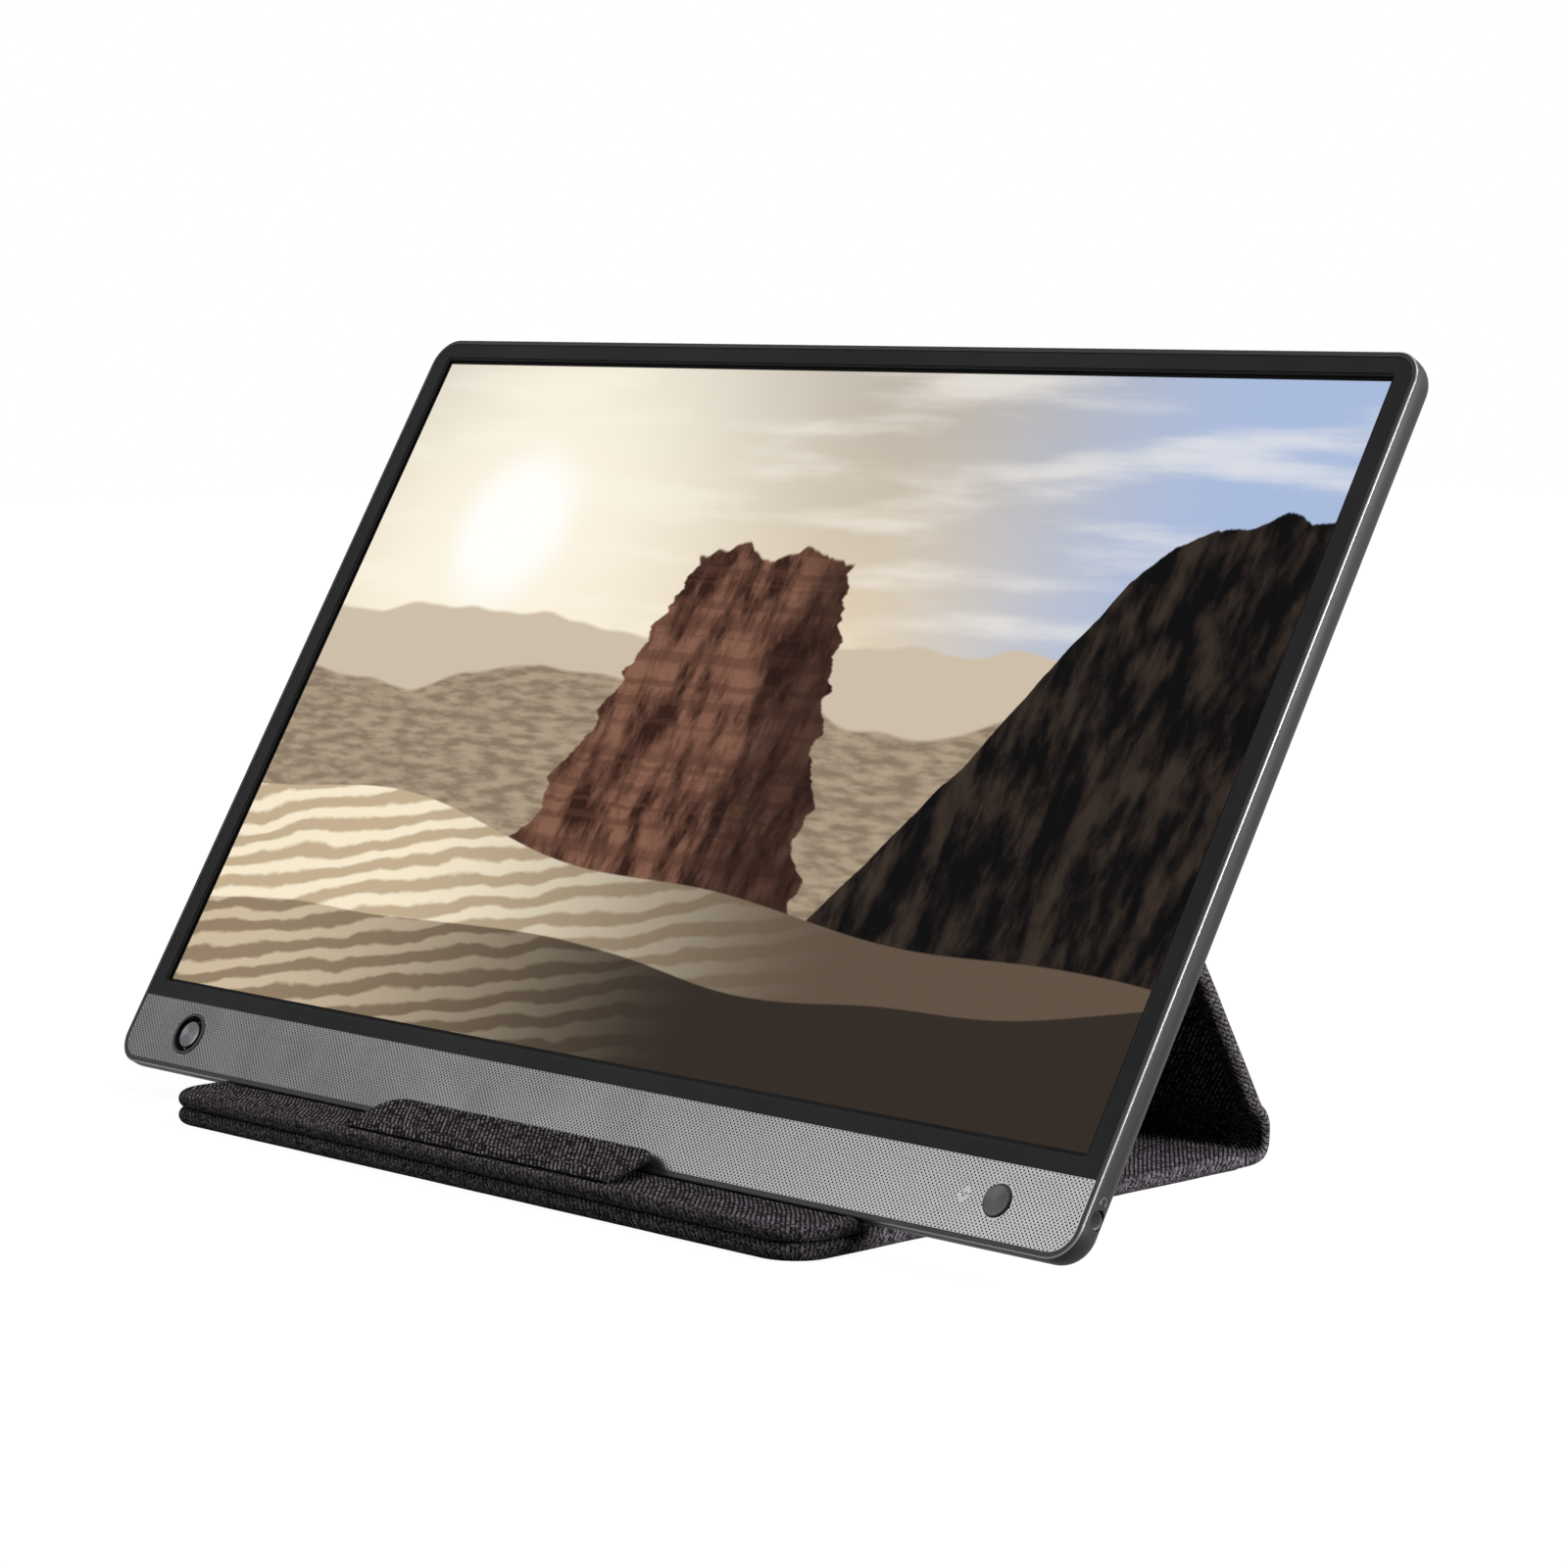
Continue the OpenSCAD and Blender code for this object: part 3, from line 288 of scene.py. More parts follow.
class Shader(Tree):
    """A new material with one Principled BSDF."""

    def __init__(self, name):
        self.material = bpy.data.materials.new(name)
        self.material.use_nodes = True
        super().__init__(self.material.node_tree)
        self.surface = self.add("ShaderNodeBsdfPrincipled")
        self.output = self.add("ShaderNodeOutputMaterial", {"Surface": self.surface.outputs[0]})

    def set(self, **values):
        """Inputs of the surface, by their names in small letters with underscores."""
        for name, value in values.items():
            socket = name.replace("_", " ").title().replace("Ior", "IOR")
            self.put(self.surface.inputs[socket], value)

    def coords(self, kind="Object"):
        return self.node("ShaderNodeTexCoord", output=kind)

    def turned(self, vector, turn=0.0, scale=(1, 1, 1)):
        """A vector scaled and turned about Z."""
        values = {"Vector": vector, "Rotation": (0, 0, turn), "Scale": scale}
        return self.node("ShaderNodeMapping", values)

    def ramp(self, value, low, high, out_low=0.0, out_high=1.0):
        """Smooth step of a value from one range to another."""
        values = {"Value": value, "From Min": low, "From Max": high}
        values.update({"To Min": out_low, "To Max": out_high})
        return self.node("ShaderNodeMapRange", values, interpolation_type="SMOOTHSTEP")

    def mix(self, factor, a, b):
        """One colour blended into another."""
        return self.node("ShaderNodeMix", {0: factor, 6: a, 7: b}, output=2, data_type="RGBA")

    def noise(self, vector, scale, detail=2.0, roughness=0.5, output=0):
        values = {"Vector": vector, "Scale": scale, "Detail": detail, "Roughness": roughness}
        return self.node("ShaderNodeTexNoise", values, output)

    def line_noise(self, value, scale, detail):
        """Noise along a single measure."""
        values = {"W": value, "Scale": scale, "Detail": detail}
        return self.node("ShaderNodeTexNoise", values, noise_dimensions="1D")

    def paint(self, value, low, high, tint, dark, light):
        """Base colour from a darker to a lighter tint, as a value goes from low to high."""
        self.set(base_color=self.mix(self.ramp(value, low, high), *shades(tint, dark, light)))

    def bump(self, height, distance, strength):
        values = {"Height": height, "Distance": distance, "Strength": strength}
        self.set(normal=self.node("ShaderNodeBump", values))


def shades(tint, dark, light):
    """A colour made darker and lighter by two factors."""
    return tuple(c * dark for c in tint), tuple(min(1, c * light) for c in tint)


def grained(
    name, tint, roughness, metallic=0.0, grain=0.15, scale=9000, depth=0.02 * MM, specular=0.5
):
    """Plain moulded or blasted finish: fine grain in colour, roughness and height."""
    s = Shader(name)
    at = s.coords()
    fine, broad = s.noise(at, scale, 3), s.noise(at, 60, 3)
    s.paint(fine * 0.75 + broad * 0.25, 0.35, 0.65, tint, 1 - grain, 1 + grain)
    s.set(roughness=s.ramp(broad, 0.3, 0.7, roughness - 0.04, roughness + 0.05))
    s.set(metallic=metallic, specular_ior_level=specular)
    s.bump(fine, depth, 0.6)
    return s.material


# ---- materials ----


def casing_material(tint):
    """Fine blasted metal with a slight cloudiness."""
    s = Shader("blasted metal")
    at = s.coords()
    grit, cloud = s.noise(at, 7000, 2), s.noise(at, 45, 3)
    s.paint(grit * 0.6 + cloud * 0.4, 0.38, 0.62, tint, 0.86, 1.14)
    s.set(roughness=s.ramp(cloud, 0.3, 0.7, 0.50, 0.60), metallic=0.15, specular_ior_level=0.2)
    s.bump(grit, 0.012 * MM, 0.5)
    return s.material


def bezel_material(tint):
    """Matte moulded plastic."""
    s = Shader("matte bezel")
    at = s.coords()
    fine, broad = s.noise(at, 5200, 2), s.noise(at, 30, 3)
    s.paint(broad, 0.3, 0.7, tint, 0.9, 1.12)
    s.set(roughness=s.ramp(fine, 0.3, 0.7, 0.50, 0.62), specular_ior_level=0.03)
    s.bump(fine, 0.02 * MM, 0.7)
    return s.material


def grille_material(tint):
    """Satin metal, brushed along the row."""
    s = Shader("satin grille")
    at = s.coords()
    cloud, grain = s.noise(at, 55, 3), s.noise(s.turned(at, scale=(0.06, 1, 1)), 3500, 3)
    s.paint(cloud * 0.5 + grain * 0.5, 0.35, 0.65, tint, 0.92, 1.06)
    s.set(roughness=s.ramp(cloud, 0.3, 0.7, 0.32, 0.38), metallic=1.0, specular_ior_level=0.5)
    s.bump(grain, 0.008 * MM, 0.4)
    return s.material


def spun_material(name, tint, radius, roughness):
    """Metal turned on a lathe: fine rings, and the tangent that gives the fan-shaped shine."""
    s = Shader(name)
    rings = s.line_noise(s.split(s.coords("UV"))[0] * (radius / MM), 9.0, 3.0)
    s.paint(rings, 0.35, 0.65, tint, 0.82, 1.15)
    s.set(metallic=1.0, roughness=roughness, anisotropic=0.8, specular_ior_level=0.5)
    s.set(tangent=s.node("ShaderNodeTangent", direction_type="UV_MAP", uv_map="UVMap"))
    s.bump(rings, 0.01 * MM, 0.8)
    return s.material


def gloss_material(name, tint):
    """Polished dark plastic with faint smears."""
    s = Shader(name)
    smear = s.noise(s.coords(), 260, 3)
    light = tuple(min(1, c * 1.4 + 0.002) for c in tint)
    s.set(base_color=s.mix(s.ramp(smear, 0.3, 0.7), tint, light))
    s.set(roughness=s.ramp(smear, 0.3, 0.7, 0.12, 0.22), specular_ior_level=0.5)
    s.set(coat_weight=0.35, coat_roughness=0.1)
    return s.material


def board_material():
    """Green circuit board with darker and lighter tracks."""
    s = Shader("circuit board")
    at = s.coords()
    cells = {"Vector": at, "Scale": 700.0}
    tracks = s.node("ShaderNodeTexVoronoi", cells, distance="CHEBYCHEV")
    ink = s.mix(s.ramp(tracks, 0.25, 0.45), (0.012, 0.06, 0.03), (0.03, 0.13, 0.07))
    s.set(base_color=s.mix(s.ramp(s.noise(at, 90, 2), 0.4, 0.6), ink, (0.02, 0.09, 0.05)))
    s.set(roughness=0.42, specular_ior_level=0.5)
    s.bump(tracks, 0.03 * MM, 0.4)
    return s.material


def cloth_material(cover):
    """Diagonal ribs of melange yarn; where it rolls over an edge its loops show as heather."""
    s = Shader("melange twill")
    uv = s.coords("UV")
    roll = s.node("ShaderNodeAttribute", output="Fac", attribute_name="roll") * 0.6
    drift = {0: s.noise(uv, 60, 2, output=1), 1: (0.0011, 0.0011, 0)}
    bent = s.node("ShaderNodeVectorMath", drift, operation="MULTIPLY")
    bent = s.node("ShaderNodeVectorMath", {0: uv, 1: bent}, operation="ADD")
    weave = s.turned(bent, math.radians(-42))
    across, along, _ = s.split(weave)
    across = across / cover.twill
    row = s.math("FLOOR", across)
    loose = s.node("ShaderNodeTexWhiteNoise", {"W": row}, noise_dimensions="1D")
    along = along / (cover.twill * 0.62) + across * 1.3 + loose
    rib, stitch = (s.math("ABSOLUTE", s.math("SINE", v * math.pi)) for v in (across, along))
    cell = s.node("ShaderNodeCombineXYZ", {0: row, 1: s.math("FLOOR", along)})
    shade = s.node("ShaderNodeTexWhiteNoise", {"Vector": cell}, noise_dimensions="3D")
    strand = s.noise(s.turned(weave, math.radians(-30), (0.5, 1.3, 1)), 1900, 2)
    fuzz = s.noise(uv, 4200, 2)
    loops = {"Vector": uv, "Scale": 2100.0, "Randomness": 1.0}
    loop_tone = s.split(s.node("ShaderNodeTexVoronoi", loops, "Color"))[0]
    knots = s.ramp(s.node("ShaderNodeTexVoronoi", loops, "Distance"), 0.15, 0.75, 1.0, 0.25)
    # rope and knots give the height of the ribs and loops; lift drives the bump and also the painted shade in the
    # grooves
    rope = s.ramp(rib, 0.12, 0.85) * s.ramp(stitch, 0.0, 0.6, 0.66, 1.0)
    lift = s.node("ShaderNodeMix", {"Factor": roll, "A": rope, "B": knots})
    # Light flecks only on the rib tops, none in the grooves: part of the painted shade
    flat_fleck = s.ramp(shade * 0.45 + strand * 0.55, 0.36, 0.72) * s.ramp(rib, 0.3, 0.95)
    roll_fleck = s.ramp(loop_tone, 0.3, 0.8) * knots
    fleck = s.node("ShaderNodeMix", {"Factor": roll, "A": flat_fleck, "B": roll_fleck})
    yarn = s.mix(s.ramp(fuzz, 0.35, 0.7), *shades(cover.dark, 0.8, 2.2))
    lit = s.mix(fleck, yarn, tuple(cover.light))
    # Painted shade: where lift is low, in the grooves between ribs and loops, the colour drops to a tenth of the
    # dark yarn
    s.set(base_color=s.mix(s.ramp(lift, 0.05, 0.6), shades(cover.dark, 0.1, 1)[0], lit))
    s.set(roughness=0.9, specular_ior_level=0.0)
    s.set(sheen_weight=0.06, sheen_roughness=0.4, sheen_tint=(0.62, 0.56, 0.64))
    s.bump(lift + fuzz * 0.2, 0.3 * MM, 1.0)
    return s.material


# Finish of each slot: name, tint, roughness and the rest of what grained() takes.
FINISHES = {
    "grille_metal": ("grille back", (0.40, 0.40, 0.40), 0.4, 1.0),
    "dust_cloth": ("dust cloth", (0.006, 0.006, 0.006), 0.95, 0, 0.5, 6000, 0.05 * MM, 0.1),
    "black_rubber": ("foam gasket", (0.012, 0.012, 0.012), 0.85, 0, 0.4, 5000, 0.03 * MM, 0.2),
    "screen": ("dark glass", (0.003, 0.003, 0.0032), 0.5, 0, 0.2, 9000, 0.002 * MM, 0.05),
    "white_film": ("white film", (0.8, 0.8, 0.78), 0.45, 0, 0.04),
    "light_guide": ("light guide", (0.7, 0.76, 0.76), 0.12, 0, 0.04),
    "steel": ("plated steel", (0.46, 0.46, 0.45), 0.32, 1.0, 0.12, 3000, 0.01 * MM),
    "led_strip": ("light strip", (0.75, 0.62, 0.25), 0.4, 0, 0.2, 1500),
    "flat_cable": ("flat cable", (0.50, 0.36, 0.17), 0.4, 0, 0.2, 2500),
    "black_plastic": ("black plastic", (0.02, 0.02, 0.021), 0.5, 0, 0.2, 5000),
    "speaker_cone": ("speaker cone", (0.06, 0.06, 0.065), 0.7, 0, 0.3, 4000),
    "brass": ("brass", (0.62, 0.45, 0.18), 0.3, 1.0, 0.1),
    "white_plastic": ("white plastic", (0.68, 0.68, 0.66), 0.4, 0, 0.05),
    "spun_metal": ("stem metal", (0.2, 0.2, 0.2), 0.35, 1.0),
    "cover_fabric": ("cover lining", (0.018, 0.017, 0.019), 0.9, 0, 0.5, 3000, 0.1 * MM, 0.0),
    "stiff_board": ("stiff board", (0.33, 0.26, 0.17), 0.8, 0, 0.3, 1500, 0.04 * MM, 0.3),
    "magnet": ("plated magnet", (0.55, 0.55, 0.54), 0.28, 1.0, 0.08, 4000, 0.006 * MM),
}


def screen_material():
    """A made-up view over dunes to distant hills, drawn as light from the panel."""
    s = Shader("lit screen")
    uv = s.coords("UV")
    x, y, _ = s.split(uv)
    sun = (0.17, 0.74)

    def wave(value, scale, shift, detail=3.0):
        return s.line_noise(value * scale + shift, 1.0, detail)

    def ridge(base, reach, scale, shift, slope=0.0, detail=3.0):
        return (wave(x, scale, shift, detail) - 0.5) * reach + base + x * slope

    def below(line, soft=0.004):
        return s.ramp(line - y, -soft, soft)

    def disc(inner, outer):
        dx, dy = (x - sun[0]) * 1.78, y - sun[1]
        return s.ramp(s.math("SQRT", dx * dx + dy * dy), inner, outer, 1.0, 0.0)

    sky = s.mix(s.ramp(y, 0.40, 1.0), (0.86, 0.70, 0.47), (0.52, 0.47, 0.40))
    sky = s.mix(s.ramp(x, 0.55, 0.92), sky, (0.40, 0.50, 0.72))
    haze = s.noise(s.turned(uv, scale=(1.6, 6.0, 1)), 2.4, 6)
    sky = s.mix(s.ramp(haze, 0.46, 0.70, 0, 0.55), sky, (0.95, 0.91, 0.84))
    sky = s.mix(disc(0.05, 0.75) * 0.95, sky, (1.0, 0.93, 0.78))
    sky = s.mix(disc(0.06, 0.16), sky, (1.0, 1.0, 0.97))
    scene = s.mix(below(ridge(0.60, 0.15, 3.2, 4.0)), sky, (0.62, 0.52, 0.40))
    grain = s.noise(s.turned(uv, scale=(6.0, 14.0, 1)), 6.0, 6)
    hills = s.mix(s.ramp(grain, 0.35, 0.65), (0.25, 0.19, 0.13), (0.42, 0.33, 0.23))
    scene = s.mix(below(ridge(0.50, 0.24, 2.3, 11.0, 0.05)), scene, hills)

    rock = s.noise(s.turned(uv, scale=(10.0, 2.0, 1)), 4.0, 8, 0.62)
    strata = wave(y + rock * 0.03, 42.0, 3.0, 2.0)
    stone = s.mix(s.ramp(rock, 0.38, 0.62), (0.035, 0.013, 0.009), (0.24, 0.115, 0.075))
    stone = s.mix(s.ramp(strata, 0.45, 0.6, 0, 0.55), stone, (0.10, 0.042, 0.028))
    dark_side = s.ramp(x - rock * 0.06, 0.47, 0.53, 0, 0.7)
    stone = s.mix(dark_side, stone, (0.018, 0.008, 0.007))
    off = s.math("ABSOLUTE", x - 0.485)
    lean = (0.72 - y) * 0.17 + wave(y, 17.0, 9.0, 4.0) * 0.035
    sides = s.ramp(lean + 0.062 - off, -0.0015, 0.0015)
    top = wave(x, 26.0, 2.0) * 0.05 + 0.70
    scene = s.mix(sides * below(top, 0.003), scene, stone)
    cliff = s.ramp(x, 0.60, 0.93) * 0.66 + ridge(0.15, 0.10, 9.0, 31.0, 0.0, 6.0)
    shade = s.mix(s.ramp(rock, 0.42, 0.66), (0.004, 0.0035, 0.004), (0.040, 0.028, 0.021))
    scene = s.mix(below(cliff, 0.002), scene, shade)

    waves = {"Vector": s.turned(uv, 1.25), "Scale": 9.0, "Distortion": 5.0}
    waves.update({"Detail": 4.0, "Detail Scale": 1.2})
    sand = s.node("ShaderNodeTexWave", waves, output=1)
    dune = s.mix(s.ramp(sand, 0.25, 0.8), (0.55, 0.43, 0.28), (0.93, 0.82, 0.62))
    dune = s.mix(s.ramp(x, 0.18, 0.72), dune, (0.12, 0.085, 0.058))
    scene = s.mix(below(ridge(0.31, 0.20, 1.6, 19.0, -0.12, 1.0), 0.0015), scene, dune)
    front = s.mix(s.ramp(sand, 0.3, 0.8), (0.30, 0.22, 0.14), (0.62, 0.50, 0.35))
    front = s.mix(s.ramp(x, 0.05, 0.6), front, (0.035, 0.026, 0.020))
    scene = s.mix(below(ridge(0.13, 0.16, 2.1, 47.0, 0.03, 1.0), 0.0015), scene, front)
    s.set(base_color=(0.004, 0.004, 0.004), roughness=0.6, specular_ior_level=0.0)
    s.set(emission_color=scene, emission_strength=1.0)
    return s.material


LOOKS = {}


def looks():
    """Finishes by slot, made once."""
    if not LOOKS:
        casing = bpy.context.scene.pm_casing
        LOOKS.update({slot: grained(*finish) for slot, finish in FINISHES.items()})
        LOOKS["casing_metal"] = casing_material(tuple(casing.colour))
        LOOKS["bezel_black"] = bezel_material(tuple(casing.bezel))
        LOOKS["circuit_board"] = board_material()
        LOOKS["ring_gloss"] = gloss_material("glossy cup", (0.008, 0.008, 0.009))
        LOOKS["weave"] = cloth_material(bpy.context.scene.pm_cover)
        LOOKS["grille_face"] = grille_material(tuple(bpy.context.scene.pm_grille.colour))
    return LOOKS


# ---- building meshes ----


def new_object(name, mesh):
    """An object in the scene that holds a mesh, a lamp or a camera."""
    made = bpy.data.objects.new(name, mesh)
    bpy.context.scene.collection.objects.link(made)
    return made


def mesh_from(name, points, faces, material, uvs=None, smooth=True):
    """One object from arrays; uvs hold a pair for each point."""
    mesh = bpy.data.meshes.new(name)
    mesh.from_pydata([tuple(p) for p in points], [], [tuple(f) for f in faces])
    if uvs is not None:
        layer = mesh.uv_layers.new(name="UVMap")
        corners = np.zeros(len(mesh.loops), dtype=np.int64)
        mesh.loops.foreach_get("vertex_index", corners)
        layer.data.foreach_set("uv", np.asarray(uvs)[corners].astype(np.float32).ravel())
    mesh.materials.append(material)
    mesh.polygons.foreach_set("use_smooth", [smooth] * len(mesh.polygons))
    mesh.validate()
    mesh.update()
    return new_object(name, mesh)


def carried(points, place_matrix):
    """Rows of local points taken into the world by a matrix."""
    m = np.array(place_matrix)
    return np.asarray(points) @ m[:3, :3].T + m[:3, 3]


def sharpen(mesh, degrees):
    """Mark as sharp the edges that bend by more than an angle."""
    mesh.set_sharp_from_angle(angle=math.radians(degrees))


def recalc(mesh, weld=0.0):
    """Turn every face outwards, after joining points closer than weld."""
    bm = bmesh.new()
    bm.from_mesh(mesh)
    if weld:
        bmesh.ops.remove_doubles(bm, verts=bm.verts, dist=weld)
    bmesh.ops.recalc_face_normals(bm, faces=bm.faces)
    bm.to_mesh(mesh)
    bm.free()


def turned_piece(name, place_matrix, profile, material, sides=96):
    """Closed piece of revolution, in metres from a profile in millimetres.

    Profile rows are (radius, height) from the top's middle outwards.
    """
    profile = [(r * MM, z * MM) for r, z in profile]
    points = [(0, 0, profile[0][1])]
    for r, z in profile[1:]:
        for k in range(sides):
            turn = 2 * math.pi * k / sides
            points.append((r * math.cos(turn), r * math.sin(turn), z))
    faces = [(0, 1 + k, 1 + (k + 1) % sides) for k in range(sides)]
    last = 1 + (len(profile) - 2) * sides
    for a in range(1, last, sides):
        for k in range(sides):
            n = (k + 1) % sides
            faces.append((a + k, a + sides + k, a + sides + n, a + n))
    faces.append(tuple(last + (sides - 1 - k) for k in range(sides)))
    made = mesh_from(name, carried(points, place_matrix), faces, material)
    mesh = made.data
    layer = mesh.uv_layers.new(name="UVMap").data
    back = place_matrix.inverted()
    widest = max(r for r, _ in profile)
    for loop in mesh.loops:
        at = back @ mesh.vertices[loop.vertex_index].co
        turn = math.atan2(at.y, at.x) / (2 * math.pi)
        layer[loop.index].uv = (math.hypot(at.x, at.y) / widest, turn)
    for polygon in mesh.polygons:
        turns = [layer[i].uv[1] for i in polygon.loop_indices]
        if max(turns) - min(turns) > 0.5:
            for i in polygon.loop_indices:
                if layer[i].uv[1] < 0:
                    layer[i].uv[1] += 1
    sharpen(mesh, SPUN_SHARP)
    return made


def dressed_copy(node, name, pick_material, materials, sharp=30):
    """Copy of a CAD node, shaded smooth by angle, with materials picked face by face."""
    mesh = bpy.data.meshes.new(name)
    bm = bmesh.new()
    bm.from_mesh(frame["nodes"][node].data)
    bmesh.ops.remove_doubles(bm, verts=bm.verts, dist=1e-6)
    bmesh.ops.recalc_face_normals(bm, faces=bm.faces)
    for face in bm.faces:
        face.smooth = True
        face.material_index = pick_material(face)
    bm.to_mesh(mesh)
    bm.free()
    for material in materials:
        mesh.materials.append(material)
    sharpen(mesh, sharp)
    return new_object(name, mesh)


def printed_piece(name, outlines, spot, material):
    """Thin raised print from closed rows of (x, y) in millimetres.

    spot(x, y, front) gives the place of a point of its face or of its back.
    """
    points, faces = [], []
    for outline in outlines:
        start, count = len(points), len(outline)
        points += [spot(x, y, front) for front in (True, False) for x, y in outline]
        faces.append(tuple(range(start, start + count)))
        faces.append(tuple(range(start + 2 * count - 1, start + count - 1, -1)))
        for k in range(count):
            n = (k + 1) % count
            faces.append((start + k, start + count + k, start + count + n, start + n))
    made = mesh_from(name, points, faces, material, smooth=False)
    recalc(made.data)
    return made


def arc_band(cx, cy, inner, outer, start, stop, steps=28):
    """Outline of a piece of ring between two angles in degrees."""
    turns = [math.radians(start + (stop - start) * k / steps) for k in range(steps + 1)]
    out = [(cx + outer * math.cos(a), cy + outer * math.sin(a)) for a in turns]
    return out + [(cx + inner * math.cos(a), cy + inner * math.sin(a)) for a in reversed(turns)]


def box_outline(cx, cy, w, h):
    return [(cx + a * w / 2, cy + b * h / 2) for a, b in ((-1, -1), (1, -1), (1, 1), (-1, 1))]


# ---- monitor ----

GLASS_REACH = 2.4 * MM
SIGN_OFFSET = 10.3 * MM
SIGN_R = 1.3 * MM
PLATE_T = 0.35 * MM
CUP_GAP = 0.05 * MM
BUTTON_GAP = 0.15 * MM
RING_CLEAR = 0.14 * MM
BAR_CLEAR = 0.15 * MM
EDGE_R = 6 * MM
# Millimetres: the flange that holds the power button in, its height and the stem's radius.
FLANGE_R, FLANGE_Z, STEM_R = 4.6, -1.7, 1.4
SPUN_SHARP = 32
SLOT_OF = {part["node"]: part["material_slot"] for part in frame["record"]["subparts"]}


class PieceOperator:
    bl_options = {"REGISTER", "UNDO"}

    def execute(self, context):
        self.build(context.scene)
        return {"FINISHED"}


def dress(made, body, slot, *nodes):
    """Attach a piece to the body that it rides and hide the nodes that it replaces; slot is not used."""
    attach(made, body)
    if nodes:
        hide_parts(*nodes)


class PM_OT_inner_nodes(PieceOperator, bpy.types.Operator):
    """Give every CAD node the finish of its slot"""

    bl_idname = "pm.inner_nodes"
    bl_label = "Inner Pieces"

    def build(self, scene):
        for name, obj in frame["nodes"].items():
            if not obj.data.materials:
                obj.data.materials.append(None)
            for slot in obj.material_slots:
                slot.material = looks()[SLOT_OF[name]]


class PM_OT_casing(PieceOperator, bpy.types.Operator):
    """Build the metal casing with its grey lip and cut edge"""

    bl_idname = "pm.casing"
    bl_label = "Casing"

    def build(self, scene):
        tint = tuple(scene.pm_casing.lip_colour)
        lip = grained("lip metal", tint, 0.5, 0.2, 0.06, 6000, 0.008 * MM, 0.15)
        cut = grained("cut edge", (0.19, 0.184, 0.18), 0.35, 0.9, 0.05, 3000, 0.005 * MM)
        front = FACE_FRONT - 0.02 * MM
        chamfer = FACE_FRONT - 0.35 * MM

        def pick(face):
            facing = face.normal.dot(OUT_FACE)
            high = max(v.co.dot(OUT_FACE) for v in face.verts)
            low = min(v.co.dot(OUT_FACE) for v in face.verts)
            if facing > 0.95 and low > front:
                return 1
            return 2 if high > front and low > chamfer and facing > 0.3 else 0

        materials = [looks()["casing_metal"], lip, cut]
        made = dressed_copy("rear_casing", "casing_shell", pick, materials)
        dress(made, "monitor", "casing_metal", "rear_casing")


class PM_OT_bezel(PieceOperator, bpy.types.Operator):
    """Build the matte bezel with the low step beside the screen"""

    bl_idname = "pm.bezel"
    bl_label = "Bezel"

    def build(self, scene):
        tint = tuple(scene.pm_casing.bezel)
        step = grained("bezel step", tint, 0.55, grain=0.1, scale=5200, specular=0.02)
        # Painted shade: the faces that turn away from the front, such as the walls of the window, take the bezel's
        # tint at three tenths
        wall_shade_tint = shades(tint, 0.3, 1)[0]
        inner = grained("bezel inner edge", wall_shade_tint, 0.7, grain=0.2, scale=5200, specular=0.05)
        low, high = FACE_FRONT - 0.6 * MM, FACE_FRONT - 0.2 * MM

        def pick(face):
            out = face.calc_center_median().dot(OUT_FACE)
            facing = face.normal.dot(OUT_FACE)
            if facing > 0.9 and low < out < high:
                return 1
            return 2 if facing < 0.5 else 0

        materials = [looks()["bezel_black"], step, inner]
        made = dressed_copy("front_bezel", "bezel_frame", pick, materials, sharp=8)
        dress(made, "monitor", "bezel_black", "front_bezel")


class PM_OT_screen(PieceOperator, bpy.types.Operator):
    """Lay the lit picture on the panel's glass"""

    bl_idname = "pm.screen"
    bl_label = "Screen Picture"

    def build(self, scene):
        half = SCREEN_X[1] - GLASS_REACH
        low, high = SCREEN_Y[0] + GLASS_REACH, SCREEN_Y[1] - GLASS_REACH
        corners = [(-half, low), (half, low), (half, high), (-half, high)]
        points = [(x, y, CELL_Z + lift * MM) for lift in (0.04, 0.01) for x, y in corners]
        faces = [(0, 1, 2, 3), (7, 6, 5, 4)]
        faces += [(k, k + 4, (k + 1) % 4 + 4, (k + 1) % 4) for k in range(4)]
        uvs = [(0, 0), (1, 0), (1, 1), (0, 1)] * 2
        places = carried(points, MONITOR)
        made = mesh_from("screen_picture", places, faces, screen_material(), uvs, smooth=False)
        dress(made, "monitor", "screen")


